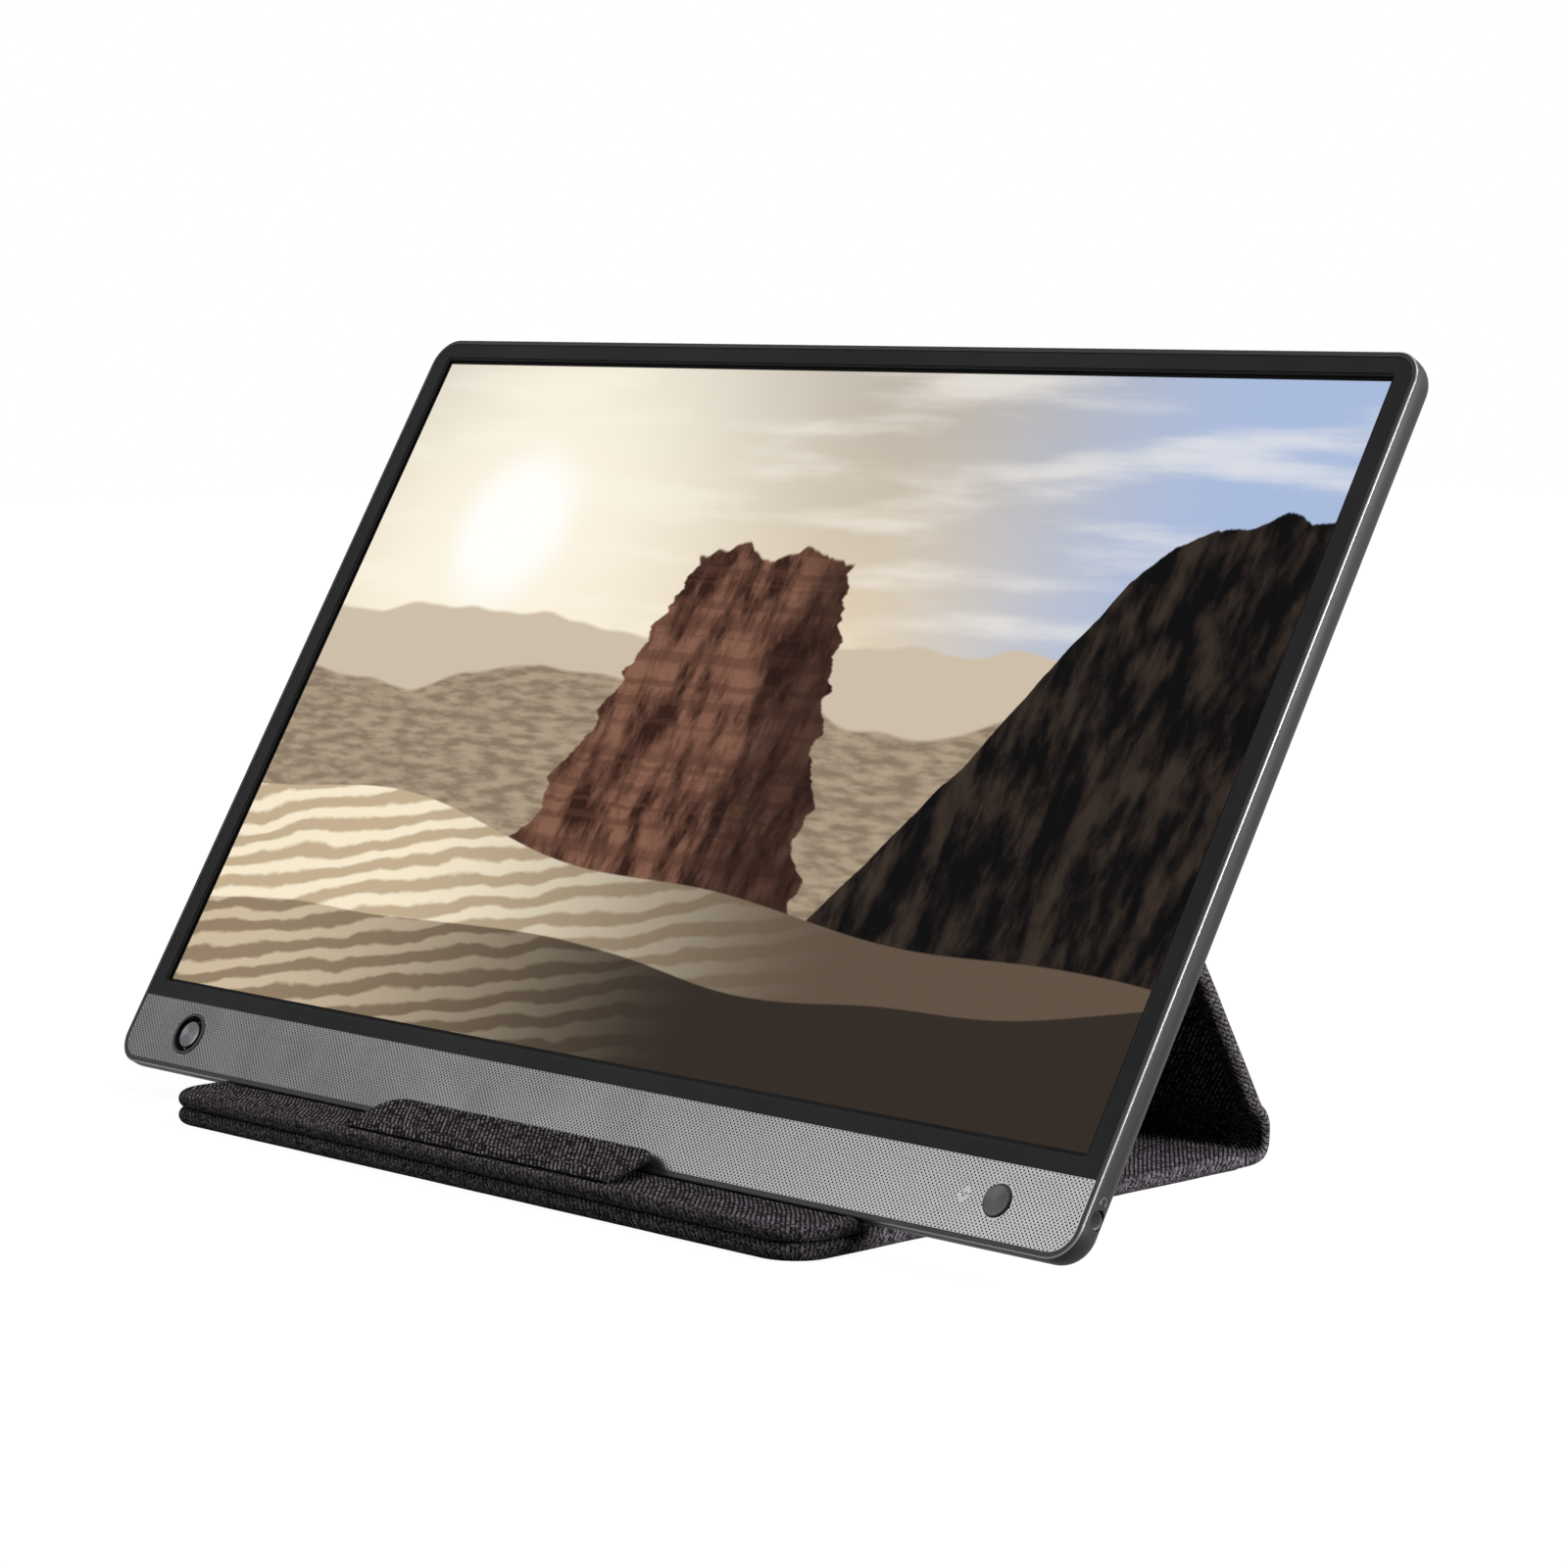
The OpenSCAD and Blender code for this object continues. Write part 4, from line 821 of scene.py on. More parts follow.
def grille_tree(holed):
    """Bricks on points: each one a rectangle, with a walled hole where holed is true."""
    name = "Grille bricks" if holed else "Plain bricks"
    tree = bpy.data.node_groups.new(name, "GeometryNodeTree")
    for name, kind in (("Geometry", "Geometry"), ("Width", "Float"), ("Height", "Float"),
                       ("Radius", "Float"), ("Thickness", "Float"), ("Material", "Material")):
        tree.interface.new_socket(name, in_out="INPUT", socket_type="NodeSocket" + kind)
    tree.interface.new_socket("Geometry", in_out="OUTPUT", socket_type="NodeSocketGeometry")
    t = Tree(tree)
    given = t.add("NodeGroupInput").outputs
    width, height, radius = (Value(t, given[name]) for name in ("Width", "Height", "Radius"))
    if holed:
        ring = t.node("GeometryNodeMeshCircle", {"Vertices": 8, "Radius": radius})
        flat = t.add("GeometryNodeExtrudeMesh", {"Mesh": ring, "Offset Scale": 0.0}, mode="EDGES")
        x, y, _ = t.split(t.node("GeometryNodeInputPosition"))

        def stepped(value, reach):
            """-0.5, 0 or 0.5 of a brick's reach, by where the point is on the ring."""
            return t.math("ROUND", value / radius * 1.4) * (reach * 0.5)

        corner = t.node("ShaderNodeCombineXYZ", {0: stepped(x, width), 1: stepped(y, height)})
        moved = {"Geometry": flat.outputs[0], "Selection": flat.outputs["Top"], "Position": corner}
        drop = t.node("ShaderNodeCombineXYZ", {2: -1.0})
        wall = {"Mesh": ring, "Offset": drop, "Offset Scale": given["Thickness"]}
        joined = t.add("GeometryNodeJoinGeometry")
        t.put(joined.inputs[0], t.node("GeometryNodeExtrudeMesh", wall, mode="EDGES"))
        t.put(joined.inputs[0], t.node("GeometryNodeSetPosition", moved))
        tile = joined.outputs[0]
    else:
        grid = {"Size X": width, "Size Y": height, "Vertices X": 3, "Vertices Y": 3}
        tile = t.node("GeometryNodeMeshGrid", grid)
    points = t.node("GeometryNodeMeshToPoints", {0: given["Geometry"]})
    placed = t.node("GeometryNodeInstanceOnPoints", {"Points": points, "Instance": tile})
    real = t.node("GeometryNodeRealizeInstances", {0: placed})
    shown = {"Geometry": real, "Material": given["Material"]}
    t.add("NodeGroupOutput", {0: t.node("GeometryNodeSetMaterial", shown)})
    return tree


def brick_mesh(name, places, holed, **values):
    """Plain mesh of one kind of brick, made by its Geometry Nodes tree from its named inputs."""
    seed = bpy.data.meshes.new(name)
    seed.from_pydata([(x, y, 0) for x, y in places], [], [])
    carrier = new_object(name, seed)
    modifier = carrier.modifiers.new("Bricks", "NODES")
    modifier.node_group = grille_tree(holed)
    for item in modifier.node_group.interface.items_tree:
        if item.in_out == "INPUT" and item.name in values:
            modifier[item.identifier] = values[item.name]
    depsgraph = bpy.context.evaluated_depsgraph_get()
    plain = bpy.data.meshes.new_from_object(carrier.evaluated_get(depsgraph))
    bpy.data.objects.remove(carrier)
    return plain


class PM_OT_grille(PieceOperator, bpy.types.Operator):
    """Build the perforated plate in two halves from holed and plain bricks"""

    bl_idname = "pm.grille"
    bl_label = "Grille"

    def build(self, scene):
        sizes = scene.pm_grille
        wide, low, high = GRILLE_X[1], *GRILLE_Y
        points = node_points("speaker_grille")
        along = points @ np.array(UP_FACE) - FACE_LOW
        corner = wide - float(points[along < low + 0.05 * MM][:, 0].max())
        rows = max(2, round((high - low) / sizes.row_pitch))
        cols = 2 * max(1, round(wide / sizes.pitch))
        brick = (2 * wide / cols, (high - low) / rows)
        controls = [(STICK_X, RING_R + CUP_GAP), (POWER_X, power_radius() + BUTTON_GAP)]
        hole = sizes.hole / 2

        def under_sign(x, y):
            dx, dy = x - (POWER_X - SIGN_OFFSET), y - STICK_Y
            ring = abs(math.hypot(dx, dy) - SIGN_R) < hole + RING_CLEAR
            return ring or (abs(dx) < hole + BAR_CLEAR and 0 < dy < SIGN_R)

        def is_open(x, y):
            clear = hole + sizes.control_margin
            near = any(math.hypot(x - cx, y - STICK_Y) < r + clear for cx, r in controls)
            if near or under_sign(x, y):
                return False
            edge = sizes.margin + hole
            if abs(x) > wide - edge or y < low + edge or y > high - edge:
                return False
            over = (abs(x) - (wide - corner), (low + corner) - y)
            return not (min(over) > 0 and math.hypot(*over) > corner - edge)

        for side, name in ((-1, "grille_left"), (1, "grille_right")):
            kinds = {True: [], False: []}
            for row in range(rows):
                y = low + (row + 0.5) * brick[1]
                for col in range(cols // 2 + row % 2):
                    # The bricks across the middle belong to the right half.
                    if side > 0 or col > 0 or row % 2 == 0:
                        x = side * (col + (0 if row % 2 else 0.5)) * brick[0]
                        kinds[is_open(x, y)].append((x, y))
            made = self.plate(name, kinds, brick, hole, (wide, low, corner), controls)
            dress(made, "monitor", "grille_metal", "speaker_grille")

    def plate(self, name, kinds, brick, hole, outline, controls):
        """One half: its bricks joined, then cut and drawn to the plate's edge and two holes."""
        wide, low, corner = outline
        bm = bmesh.new()
        values = {"Width": brick[0], "Height": brick[1], "Radius": hole, "Thickness": PLATE_T}
        for holed in (True, False):
            mesh = brick_mesh(name + "_bricks", kinds[holed], holed, **values)
            bm.from_mesh(mesh)
            bpy.data.meshes.remove(mesh)
        bmesh.ops.remove_doubles(bm, verts=bm.verts, dist=0.5e-6)
        for cx, r in controls:
            inner = {v for v in bm.verts if math.hypot(v.co.x - cx, v.co.y - STICK_Y) < r}
            gone = [f for f in bm.faces if all(v in inner for v in f.verts)]
            bmesh.ops.delete(bm, geom=gone, context="FACES")
        for v in bm.verts:
            x, y = v.co.x, v.co.y
            for cx, r in controls:
                far = math.hypot(x - cx, y - STICK_Y)
                if far < r:
                    scale = r / max(far, 1e-7)
                    v.co.x, v.co.y = cx + (x - cx) * scale, STICK_Y + (y - STICK_Y) * scale
            if abs(x) > wide:
                v.co.x = math.copysign(wide, x)
            over_x, over_y = abs(v.co.x) - (wide - corner), (low + corner) - v.co.y
            if over_x > 0 and over_y > 0 and math.hypot(over_x, over_y) > corner:
                scale = corner / math.hypot(over_x, over_y)
                v.co.x = math.copysign(wide - corner + over_x * scale, v.co.x)
                v.co.y = low + corner - over_y * scale
        slivers = [f for f in bm.faces if f.calc_area() < 1e-10]
        bmesh.ops.delete(bm, geom=slivers, context="FACES")
        turned = [f for f in bm.faces if f.normal.z < -0.5]
        for f in bm.faces:
            if abs(f.normal.z) < 0.5:
                at = f.calc_center_median()
                col = round(at.x / (brick[0] / 2)) * brick[0] / 2
                row = low + (math.floor((at.y - low) / brick[1]) + 0.5) * brick[1]
                if f.normal.dot(Vector((col - at.x, row - at.y, 0))) < 0:
                    turned.append(f)
        bmesh.ops.reverse_faces(bm, faces=turned)
        half = -PLATE_T / 2
        rim = [e for e in bm.edges if e.is_boundary and min(v.co.z for v in e.verts) > half]
        for v in bmesh.ops.extrude_edge_only(bm, edges=rim)["geom"]:
            if isinstance(v, bmesh.types.BMVert):
                v.co.z -= PLATE_T
        bmesh.ops.delete(bm, geom=[v for v in bm.verts if not v.link_faces], context="VERTS")
        place_matrix = MONITOR.copy()
        place_matrix.translation = MONITOR @ Vector((0, 0, GRILLE_Z[1]))
        bm.transform(place_matrix)
        mesh = bpy.data.meshes.new(name)
        bm.to_mesh(mesh)
        bm.free()
        # Painted shade: the metal walls of the holes and of the rim take the near-black dust-cloth finish
        for look in ("grille_face", "dust_cloth"):
            mesh.materials.append(looks()[look])
        normals = np.zeros(len(mesh.polygons) * 3)
        mesh.polygons.foreach_get("normal", normals)
        walls = (normals.reshape(-1, 3) @ np.array(OUT_FACE) < 0.5).astype(int)
        mesh.polygons.foreach_set("material_index", walls)
        mesh.shade_flat()
        return new_object(name, mesh)


def power_radius():
    """Radius of the button's own cap, without the wider flange behind the plate."""
    points = node_points("power_button")
    out = points @ np.array(OUT_FACE) - FACE_FRONT
    cap = points[out > -0.2 * MM]
    return float(cap[:, 0].max()) - POWER_X


def control_place(x, z):
    """Place of a control in the row of the stick, at a height out of the face."""
    made = MONITOR.copy()
    made.translation = MONITOR @ Vector((x, STICK_Y, z))
    return made


class PM_OT_controls(PieceOperator, bpy.types.Operator):
    """Build the stick's glossy cup and spun cap, the power button and its sign"""

    bl_idname = "pm.controls"
    bl_label = "Stick And Power Button"

    def build(self, scene):
        rim = grained("cup rim", (0.014, 0.014, 0.015), 0.35, grain=0.1, specular=0.25)

        def pick(face):
            out = face.calc_center_median().dot(OUT_FACE) - FACE_FRONT
            return 1 if out > RING_Z[1] - 0.05 * MM and face.normal.dot(OUT_FACE) > 0.8 else 0

        cup = dressed_copy("stick_ring", "stick_cup", pick, [looks()["ring_gloss"], rim])
        dress(cup, "monitor", "ring_gloss", "stick_ring")

        r = CAP_R / MM
        low = (CAP_LOW - CAP_TOP) / MM
        profile = [(0, -0.16), (0.5, -0.15), (1.6, -0.07), (r - 0.75, -0.01), (r - 0.55, 0.0)]
        profile += [(r - 0.25, -0.02), (r - 0.08, -0.1), (r, -0.26), (r, -0.95), (r - 0.12, -1.12)]
        profile += [(r - 0.3, -1.2), (1.6, -1.2), (1.1, -1.32), (0.72, -1.6)]
        profile += [(0.7, low + 0.1), (0.6, low)]
        metal = spun_material("spun cap", (0.125, 0.117, 0.13), CAP_R, 0.3)
        cap = turned_piece("stick_button", control_place(STICK_X, CAP_TOP), profile, metal)
        dress(cap, "stick", "spun_metal", "stick_cap")

        radius = power_radius()
        r = radius / MM
        bottom, top = local_span("power_button", 2)
        skirt = FLANGE_Z - top / MM
        foot = (bottom - top) / MM
        profile = [(0, -0.14), (0.6, -0.13), (r - 1.0, -0.02), (r - 0.6, 0.0), (r - 0.32, -0.01)]
        profile += [(r - 0.12, -0.1), (r, -0.28), (r, skirt), (FLANGE_R, skirt)]
        profile += [(FLANGE_R, skirt - 0.4), (STEM_R, skirt - 0.4), (STEM_R, foot)]
        metal = spun_material("spun button", (0.030, 0.029, 0.029), radius, 0.28)
        button = turned_piece("power_cap", control_place(POWER_X, top), profile, metal)
        dress(button, "power", "spun_metal", "power_button")

        ink = grained("white print", (0.85, 0.85, 0.85), 0.6, grain=0.05)
        sign = control_place(POWER_X - SIGN_OFFSET, GRILLE_Z[1])
        r = SIGN_R / MM
        outlines = [arc_band(0, 0, r - 0.19, r + 0.19, 125, 415), box_outline(0, 1.05, 0.38, 1.35)]

        def spot(x, y, front):
            return carried((x * MM, y * MM, front * 0.02 * MM), sign)

        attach(printed_piece("power_sign", outlines, spot, ink), "monitor")


def wall_x(depth):
    """Distance from the middle to the side wall at a depth behind the face."""
    past = depth - (FACE_FRONT - FACE_BACK - EDGE_R)
    if past <= 0:
        return MONITOR_W / 2
    return MONITOR_W / 2 - EDGE_R + math.sqrt(max(0, EDGE_R**2 - past**2))


class PM_OT_jack(PieceOperator, bpy.types.Operator):
    """Dress the headphone jack and print its sign on the side wall"""

    bl_idname = "pm.jack"
    bl_label = "Headphone Jack"

    def build(self, scene):
        tint = (0.075, 0.073, 0.072)
        ring = grained("jack ring", tint, 0.4, metallic=0.4, grain=0.06, specular=0.25)
        points = node_points("headphone_jack")
        end = float(points[:, 0].max()) - 0.1 * MM

        def pick(face):
            return 1 if face.calc_center_median().x > end and face.normal.x > 0.8 else 0

        materials = [looks()["black_plastic"], ring]
        made = dressed_copy("headphone_jack", "jack_body", pick, materials)
        dress(made, "monitor", "black_plastic", "headphone_jack")

        centre = Vector(points[points[:, 0] > end].mean(axis=0))
        up = centre.dot(UP_FACE) + 4.2 * MM
        depth = FACE_FRONT - centre.dot(OUT_FACE) - 0.6 * MM
        ink = grained("pale print", (0.09, 0.09, 0.09), 0.6, grain=0.1, specular=0.2)
        outlines = [arc_band(0, 0, 0.88, 1.08, 0, 180)]
        outlines += [box_outline(x, -0.35, 0.5, 0.85) for x in (-0.95, 0.95)]

        def spot(across, along, front):
            at = depth - across * MM
            wall = wall_x(at) + (0.015 if front else -0.02) * MM
            high = UP_FACE * (up + along * MM)
            return Vector((wall, 0, 0)) + high + OUT_FACE * (FACE_FRONT - at)

        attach(printed_piece("headphone_sign", outlines, spot, ink), "monitor")


# ---- cover ----

ROLL_REACH = 2.4 * MM
ROLL_STEPS = (0, 0.02, 0.06, 0.12, 0.2, 0.3, 0.42, 0.54, 0.66, 0.78, 0.9, 1.0)
FINE_STEP = 0.8 * MM
PANEL_STEP = 1.6 * MM
BAND_STEP = 1.8 * MM
SLANT_REACH = 8 * MM
UNEVEN_EDGE = 0.45 * MM
CLOTH_SHARP = 65
UNDER_SHIFT = 0.3  # moves the underside's weave away from the upper side's


def edge_steps(fine):
    """Distances in from an edge, packed closer where it rolls over, as far as fine."""
    steps = [ROLL_REACH * k for k in ROLL_STEPS] if fine else [0]
    if fine > ROLL_REACH:
        more = fine - ROLL_REACH
        count = max(2, round(more / FINE_STEP))
        steps += [ROLL_REACH + more * k / count for k in range(1, count + 1)]
    return steps


def spread(low, high, step, fine_low=0.0, fine_high=0.0):
    """Positions from low to high, packed closer inside a rounded edge at either end."""
    start = [low + k for k in edge_steps(fine_low)]
    stop = [high - k for k in reversed(edge_steps(fine_high))]
    reach = stop[0] - start[-1]
    count = max(1, round(reach / step))
    return np.array(start + [start[-1] + reach * k / count for k in range(1, count)] + stop)


def edge_height(inset, thick, cover):
    """Half height of a covered panel at a distance in from its edge, with its rolled hem."""
    half = thick / 2
    near = np.clip(inset / half, 0, 1)
    height = half * np.sqrt(np.maximum(0, 1 - (1 - near) ** 2))
    hem = np.exp(-(((inset - cover.roll) / (0.6 * MM)) ** 2))
    field = 0.5 + 0.5 * np.tanh((inset - cover.roll) / (0.5 * MM))
    drop = min(cover.drop, 0.3 * half)
    return height - cover.groove * min(1, half / (2 * MM)) * hem - drop * field


def ripple(px, py, scale, seed):
    """Smooth unevenness for each point, from -1 to 1 at most."""
    places = zip(px.ravel() * scale + seed, py.ravel() * scale)
    return np.array([noise.noise(Vector((x, y, seed))) for x, y in places]).reshape(px.shape)


def grid_faces(rows, cols):
    """Corner numbers of every square of a grid of points that are stored row by row."""
    at = np.arange(rows * cols).reshape(rows, cols)
    corners = [at[:-1, :-1], at[1:, :-1], at[1:, 1:], at[:-1, 1:]]
    return np.stack(corners, axis=-1).reshape(-1, 4)


def add_roll(mesh, values):
    """Write how far each point is on a rolled edge, for the cloth's material."""
    layer = mesh.attributes.new("roll", "FLOAT", "POINT")
    layer.data.foreach_set("value", np.asarray(values, dtype=np.float32))


def soft_panel(
    name, place_matrix, width, reach_y, thick, corner, rounds, cover, seed, shear=0.0, flare=(0, 0)
):
    """Covered board: rolled hem, soft corners where an end is free, flat ends where it folds.

    rounds says which of the low and the high end is free. shear slants the high end. flare
    holds how much further the right side reaches at the low and the high end.
    """
    y_low, y_high = reach_y
    xs = spread(-width / 2, width / 2, PANEL_STEP, corner, corner)
    ys = spread(y_low, y_high, PANEL_STEP, *(corner if is_round else 0 for is_round in rounds))
    gx, gy = np.meshgrid(xs, ys, indexing="ij")
    side = np.sign(gx)
    over_x = (np.abs(gx) - (width / 2 - corner)) / corner
    low_y = ((y_low + corner) - gy) / corner if rounds[0] else np.full_like(gx, -1.0)
    high_y = (gy - (y_high - corner)) / corner if rounds[1] else np.full_like(gx, -1.0)
    over_y = np.maximum(low_y, high_y)
    ends = np.where(high_y > low_y, 1.0, -1.0)
    turn = (over_x > 0) & (over_y > 0)
    ax = np.where(turn, over_x * np.sqrt(np.clip(1 - over_y**2 / 2, 0, 1)), over_x)
    ay = np.where(turn, over_y * np.sqrt(np.clip(1 - over_x**2 / 2, 0, 1)), over_y)
    reach = np.where(turn, np.hypot(ax, ay), np.maximum(ax, ay))
    inset = corner * (1 - reach)
    px = np.where(turn, side * (width / 2 - corner + ax * corner), gx)
    edge_y = np.where(ends > 0, y_high - corner, y_low + corner)
    py = np.where(turn, edge_y + ends * ay * corner, gy)

    # Cloth lies on the roll at its true length, so the weave keeps its scale over the edge.
    half = thick / 2
    bent = half * np.arcsin(np.clip(1 - inset / half, 0, 1)) - np.clip(half - inset, 0, half)
    away_x = np.where(turn, ax / np.maximum(reach, 1e-6), (ax >= ay) * 1.0) * side
    away_y = np.where(turn, ay / np.maximum(reach, 1e-6), (ax < ay) * 1.0) * ends

    def drawn_at(past):
        return np.stack([px + away_x * past, py + away_y * past], axis=-1).reshape(-1, 2)

    uvs = drawn_at(bent)
    turned_uvs = drawn_at(2 * half * (math.pi / 2 - 1) + 2 * inset - bent)
    roll = np.clip(1 - (inset - 0.55 * half) / (0.5 * half), 0, 1).reshape(-1)

    height = edge_height(inset, thick, cover)
    wave = 0.5 + 0.5 * ripple(px, py, 38, seed) + 0.25 * ripple(px, py, 118, seed)
    dip = cover.sag * np.clip(wave, 0, 1.3) * np.clip(inset / (3 * MM), 0, 1)
    near_edge = np.clip(1 - inset / (5 * MM), 0, 1)
    loose = UNEVEN_EDGE * ripple(px, py, 55, seed + 40) * near_edge
    along = np.clip((gy - y_low) / (y_high - y_low), 0, 1)
    extra = (flare[0] + (flare[1] - flare[0]) * along) * np.clip(gx / (width / 2), 0, 1) ** 2
    px, py = px + away_x * loose + extra, py + away_y * loose * (1 if all(rounds) else 0.3)
    on_edge = np.clip(inset, 0, None) <= 1e-9
    slant = shear * np.clip((gy - (y_high - SLANT_REACH)) / SLANT_REACH, 0, 1)

    def layer_points(z):
        z = np.where(on_edge, 0, z)
        return np.stack([px, py - slant * z / half, z], axis=-1).reshape(-1, 3)

    rows, cols = px.shape
    number = np.arange(rows * cols)
    free = np.where(~on_edge.reshape(-1))[0]
    below = number.copy()
    below[free] = rows * cols + np.arange(len(free))
    points = np.vstack([layer_points(height - dip), layer_points(-(height - 0.5 * dip))[free]])
    deep = (inset.reshape(-1) > 1.5 * thick)[free]
    faces = []
    for square in grid_faces(rows, cols):
        faces += [tuple(square), tuple(below[square[::-1]])]
    for is_round, j in zip(rounds, (0, cols - 1)):
        for i in range(0 if is_round else rows - 1):
            a, b = i * cols + j, (i + 1) * cols + j
            ring = [a, below[a], below[b], b] if j == 0 else [b, below[b], below[a], a]
            ring = tuple(dict.fromkeys(int(k) for k in ring))
            if len(ring) > 2:
                faces.append(ring)
    under = np.where(deep[:, None], uvs[free], turned_uvs[free])
    places = carried(points, place_matrix)
    made = mesh_from(name, places, faces, looks()["weave"], np.vstack([uvs, under]))
    drawn = made.data.uv_layers.active.data
    for face in made.data.polygons:
        own = [v - rows * cols for v in face.vertices]
        if min(own) >= 0 and len({bool(deep[k]) for k in own}) == 2:
            for loop, k in zip(face.loop_indices, own):
                drawn[loop].uv = turned_uvs[free[k]]
    add_roll(made.data, np.concatenate([roll, roll[free]]))
    recalc(made.data)
    sharpen(made.data, CLOTH_SHARP)
    return made


def stretched(values, count):
    """A row of values drawn out to a longer row."""
    return np.interp(np.linspace(0, 1, count), np.linspace(0, 1, len(values)), values)


def soft_band(name, path, halves, width, seed, centre=COVER_X, cloth="weave"):
    """Cloth carried along a path in the side view, with rounded sides.

    Path rows are (y, z), and halves are half its thickness from one end to the other.
    """
    path = np.array(path)
    ahead = np.gradient(path, axis=0)
    ahead /= np.linalg.norm(ahead, axis=1)[:, None]
    normal = np.stack([-ahead[:, 1], ahead[:, 0]], axis=1)
    run = np.concatenate([[0], np.cumsum(np.linalg.norm(np.diff(path, axis=0), axis=1))])
    halves = stretched(halves, len(path))
    xs = spread(-width / 2, width / 2, BAND_STEP, ROLL_REACH, ROLL_REACH)
    points, uvs, roll = [], [], []
    cols = len(xs)
    for flip in (1, -1):
        for k in range(len(path)):
            for x in xs:
                inset = width / 2 - abs(x)
                share = math.sqrt(max(0, 1 - (1 - min(1, inset / halves[k])) ** 2))
                ruffle = 1 - 0.10 * noise.noise(Vector((x * 60 + seed, run[k] * 90, seed)))
                at = path[k] + normal[k] * halves[k] * share * flip * ruffle
                points.append((centre + x, at[0], at[1]))
                uvs.append((x + UNDER_SHIFT * (flip < 0), run[k] + seed * 0.01))
                roll.append(1 - min(1, max(0, inset / halves[k] - 0.55) / 0.5))
    count = len(path) * cols
    faces = []
    for square in grid_faces(len(path), cols):
        faces += [tuple(square[[0, 3, 2, 1]]), tuple(count + square)]
    for i in (0, len(path) - 1):
        for a in range(i * cols, i * cols + cols - 1):
            faces.append((a, a + 1, count + a + 1, count + a))
    made = mesh_from(name, points, faces, looks()[cloth], uvs)
    add_roll(made.data, roll)
    recalc(made.data, weld=1e-7)
    sharpen(made.data, CLOTH_SHARP)
    return made


def in_side(place_matrix, y, z):
    """World (y, z) of a point of a panel's side view."""
    at = place_matrix @ Vector((0, y, z))
    return (at.y, at.z)


def bezier(a, b, c, steps):
    """Points of a curve from a to c that leaves and arrives towards b."""
    shares = (k / steps for k in range(steps + 1))
    return [
        tuple((1 - t) ** 2 * a[i] + 2 * t * (1 - t) * b[i] + t * t * c[i] for i in (0, 1))
        for t in shares
    ]


# How far the loose rear fold stands from its axis at each angle, as a share of the tight fold.
FOLD_TURNS = (-90, -70, -58, -48, -40, -30, -15, 0, 15, 29.4)
FOLD_REACH = (1.0, 1.06, 1.175, 1.325, 1.434, 1.434, 1.337, 1.289, 1.19, 1.03)


# Panels: corner, free ends, seed of the unevenness and flare of the right side.
PANELS = {
    "base": (12 * MM, (True, False), 3.0, (5 * MM, -0.5 * MM)),
    "prop": (2.6 * MM, (False, False), 11.0, (0, 0)),
    "support": (2.6 * MM, (True, False), 17.0, (0, 0)),
    "foot": (12 * MM, (True, False), 23.0, (5 * MM, 4.5 * MM)),
}
TUCK = 1.5 * MM
FLAP_SHIFT = 2 * MM
CREASE_TUCK = 0.9 * MM


def points_in(place_matrix, node):
    """Vertices of a CAD node in a panel's own directions."""
    return carried(node_points(node), place_matrix.inverted())


def cover_places():
    """Places of the panels and the distances that their CAD nodes reach along them."""
    foot_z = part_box("foot_fabric")[0].z + PANEL_T / 2
    places = {
        "base": side_place(Vector((0, BASE_LOW.y, PANEL_T / 2)), 0.0),
        "prop": side_place(CREST_AXIS, PROP_ANGLE),
        "support": side_place(VALLEY_AXIS, SUPPORT_ANGLE),
        "foot": side_place(Vector((0, BASE_LOW.y, foot_z)), 0.0),
    }
    reaches = {}
    for name, place_matrix in places.items():
        along = points_in(place_matrix, name + "_fabric")[:, 1]
        reaches[name] = (float(along.min()), float(along.max()))
    return places, reaches


def cover_piece(made, nodes, *bodies, path=None, ends=()):
    """Hide the nodes that a padded piece replaces and attach it to its body, or bake the place of a fold, for
    which ends names two rows of its path.
    """
    if nodes:
        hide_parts(*nodes)
    if ends:
        start, end = (Vector((0, *path[row])) for row in ends)
        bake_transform(made)
    else:
        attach(made, *bodies)


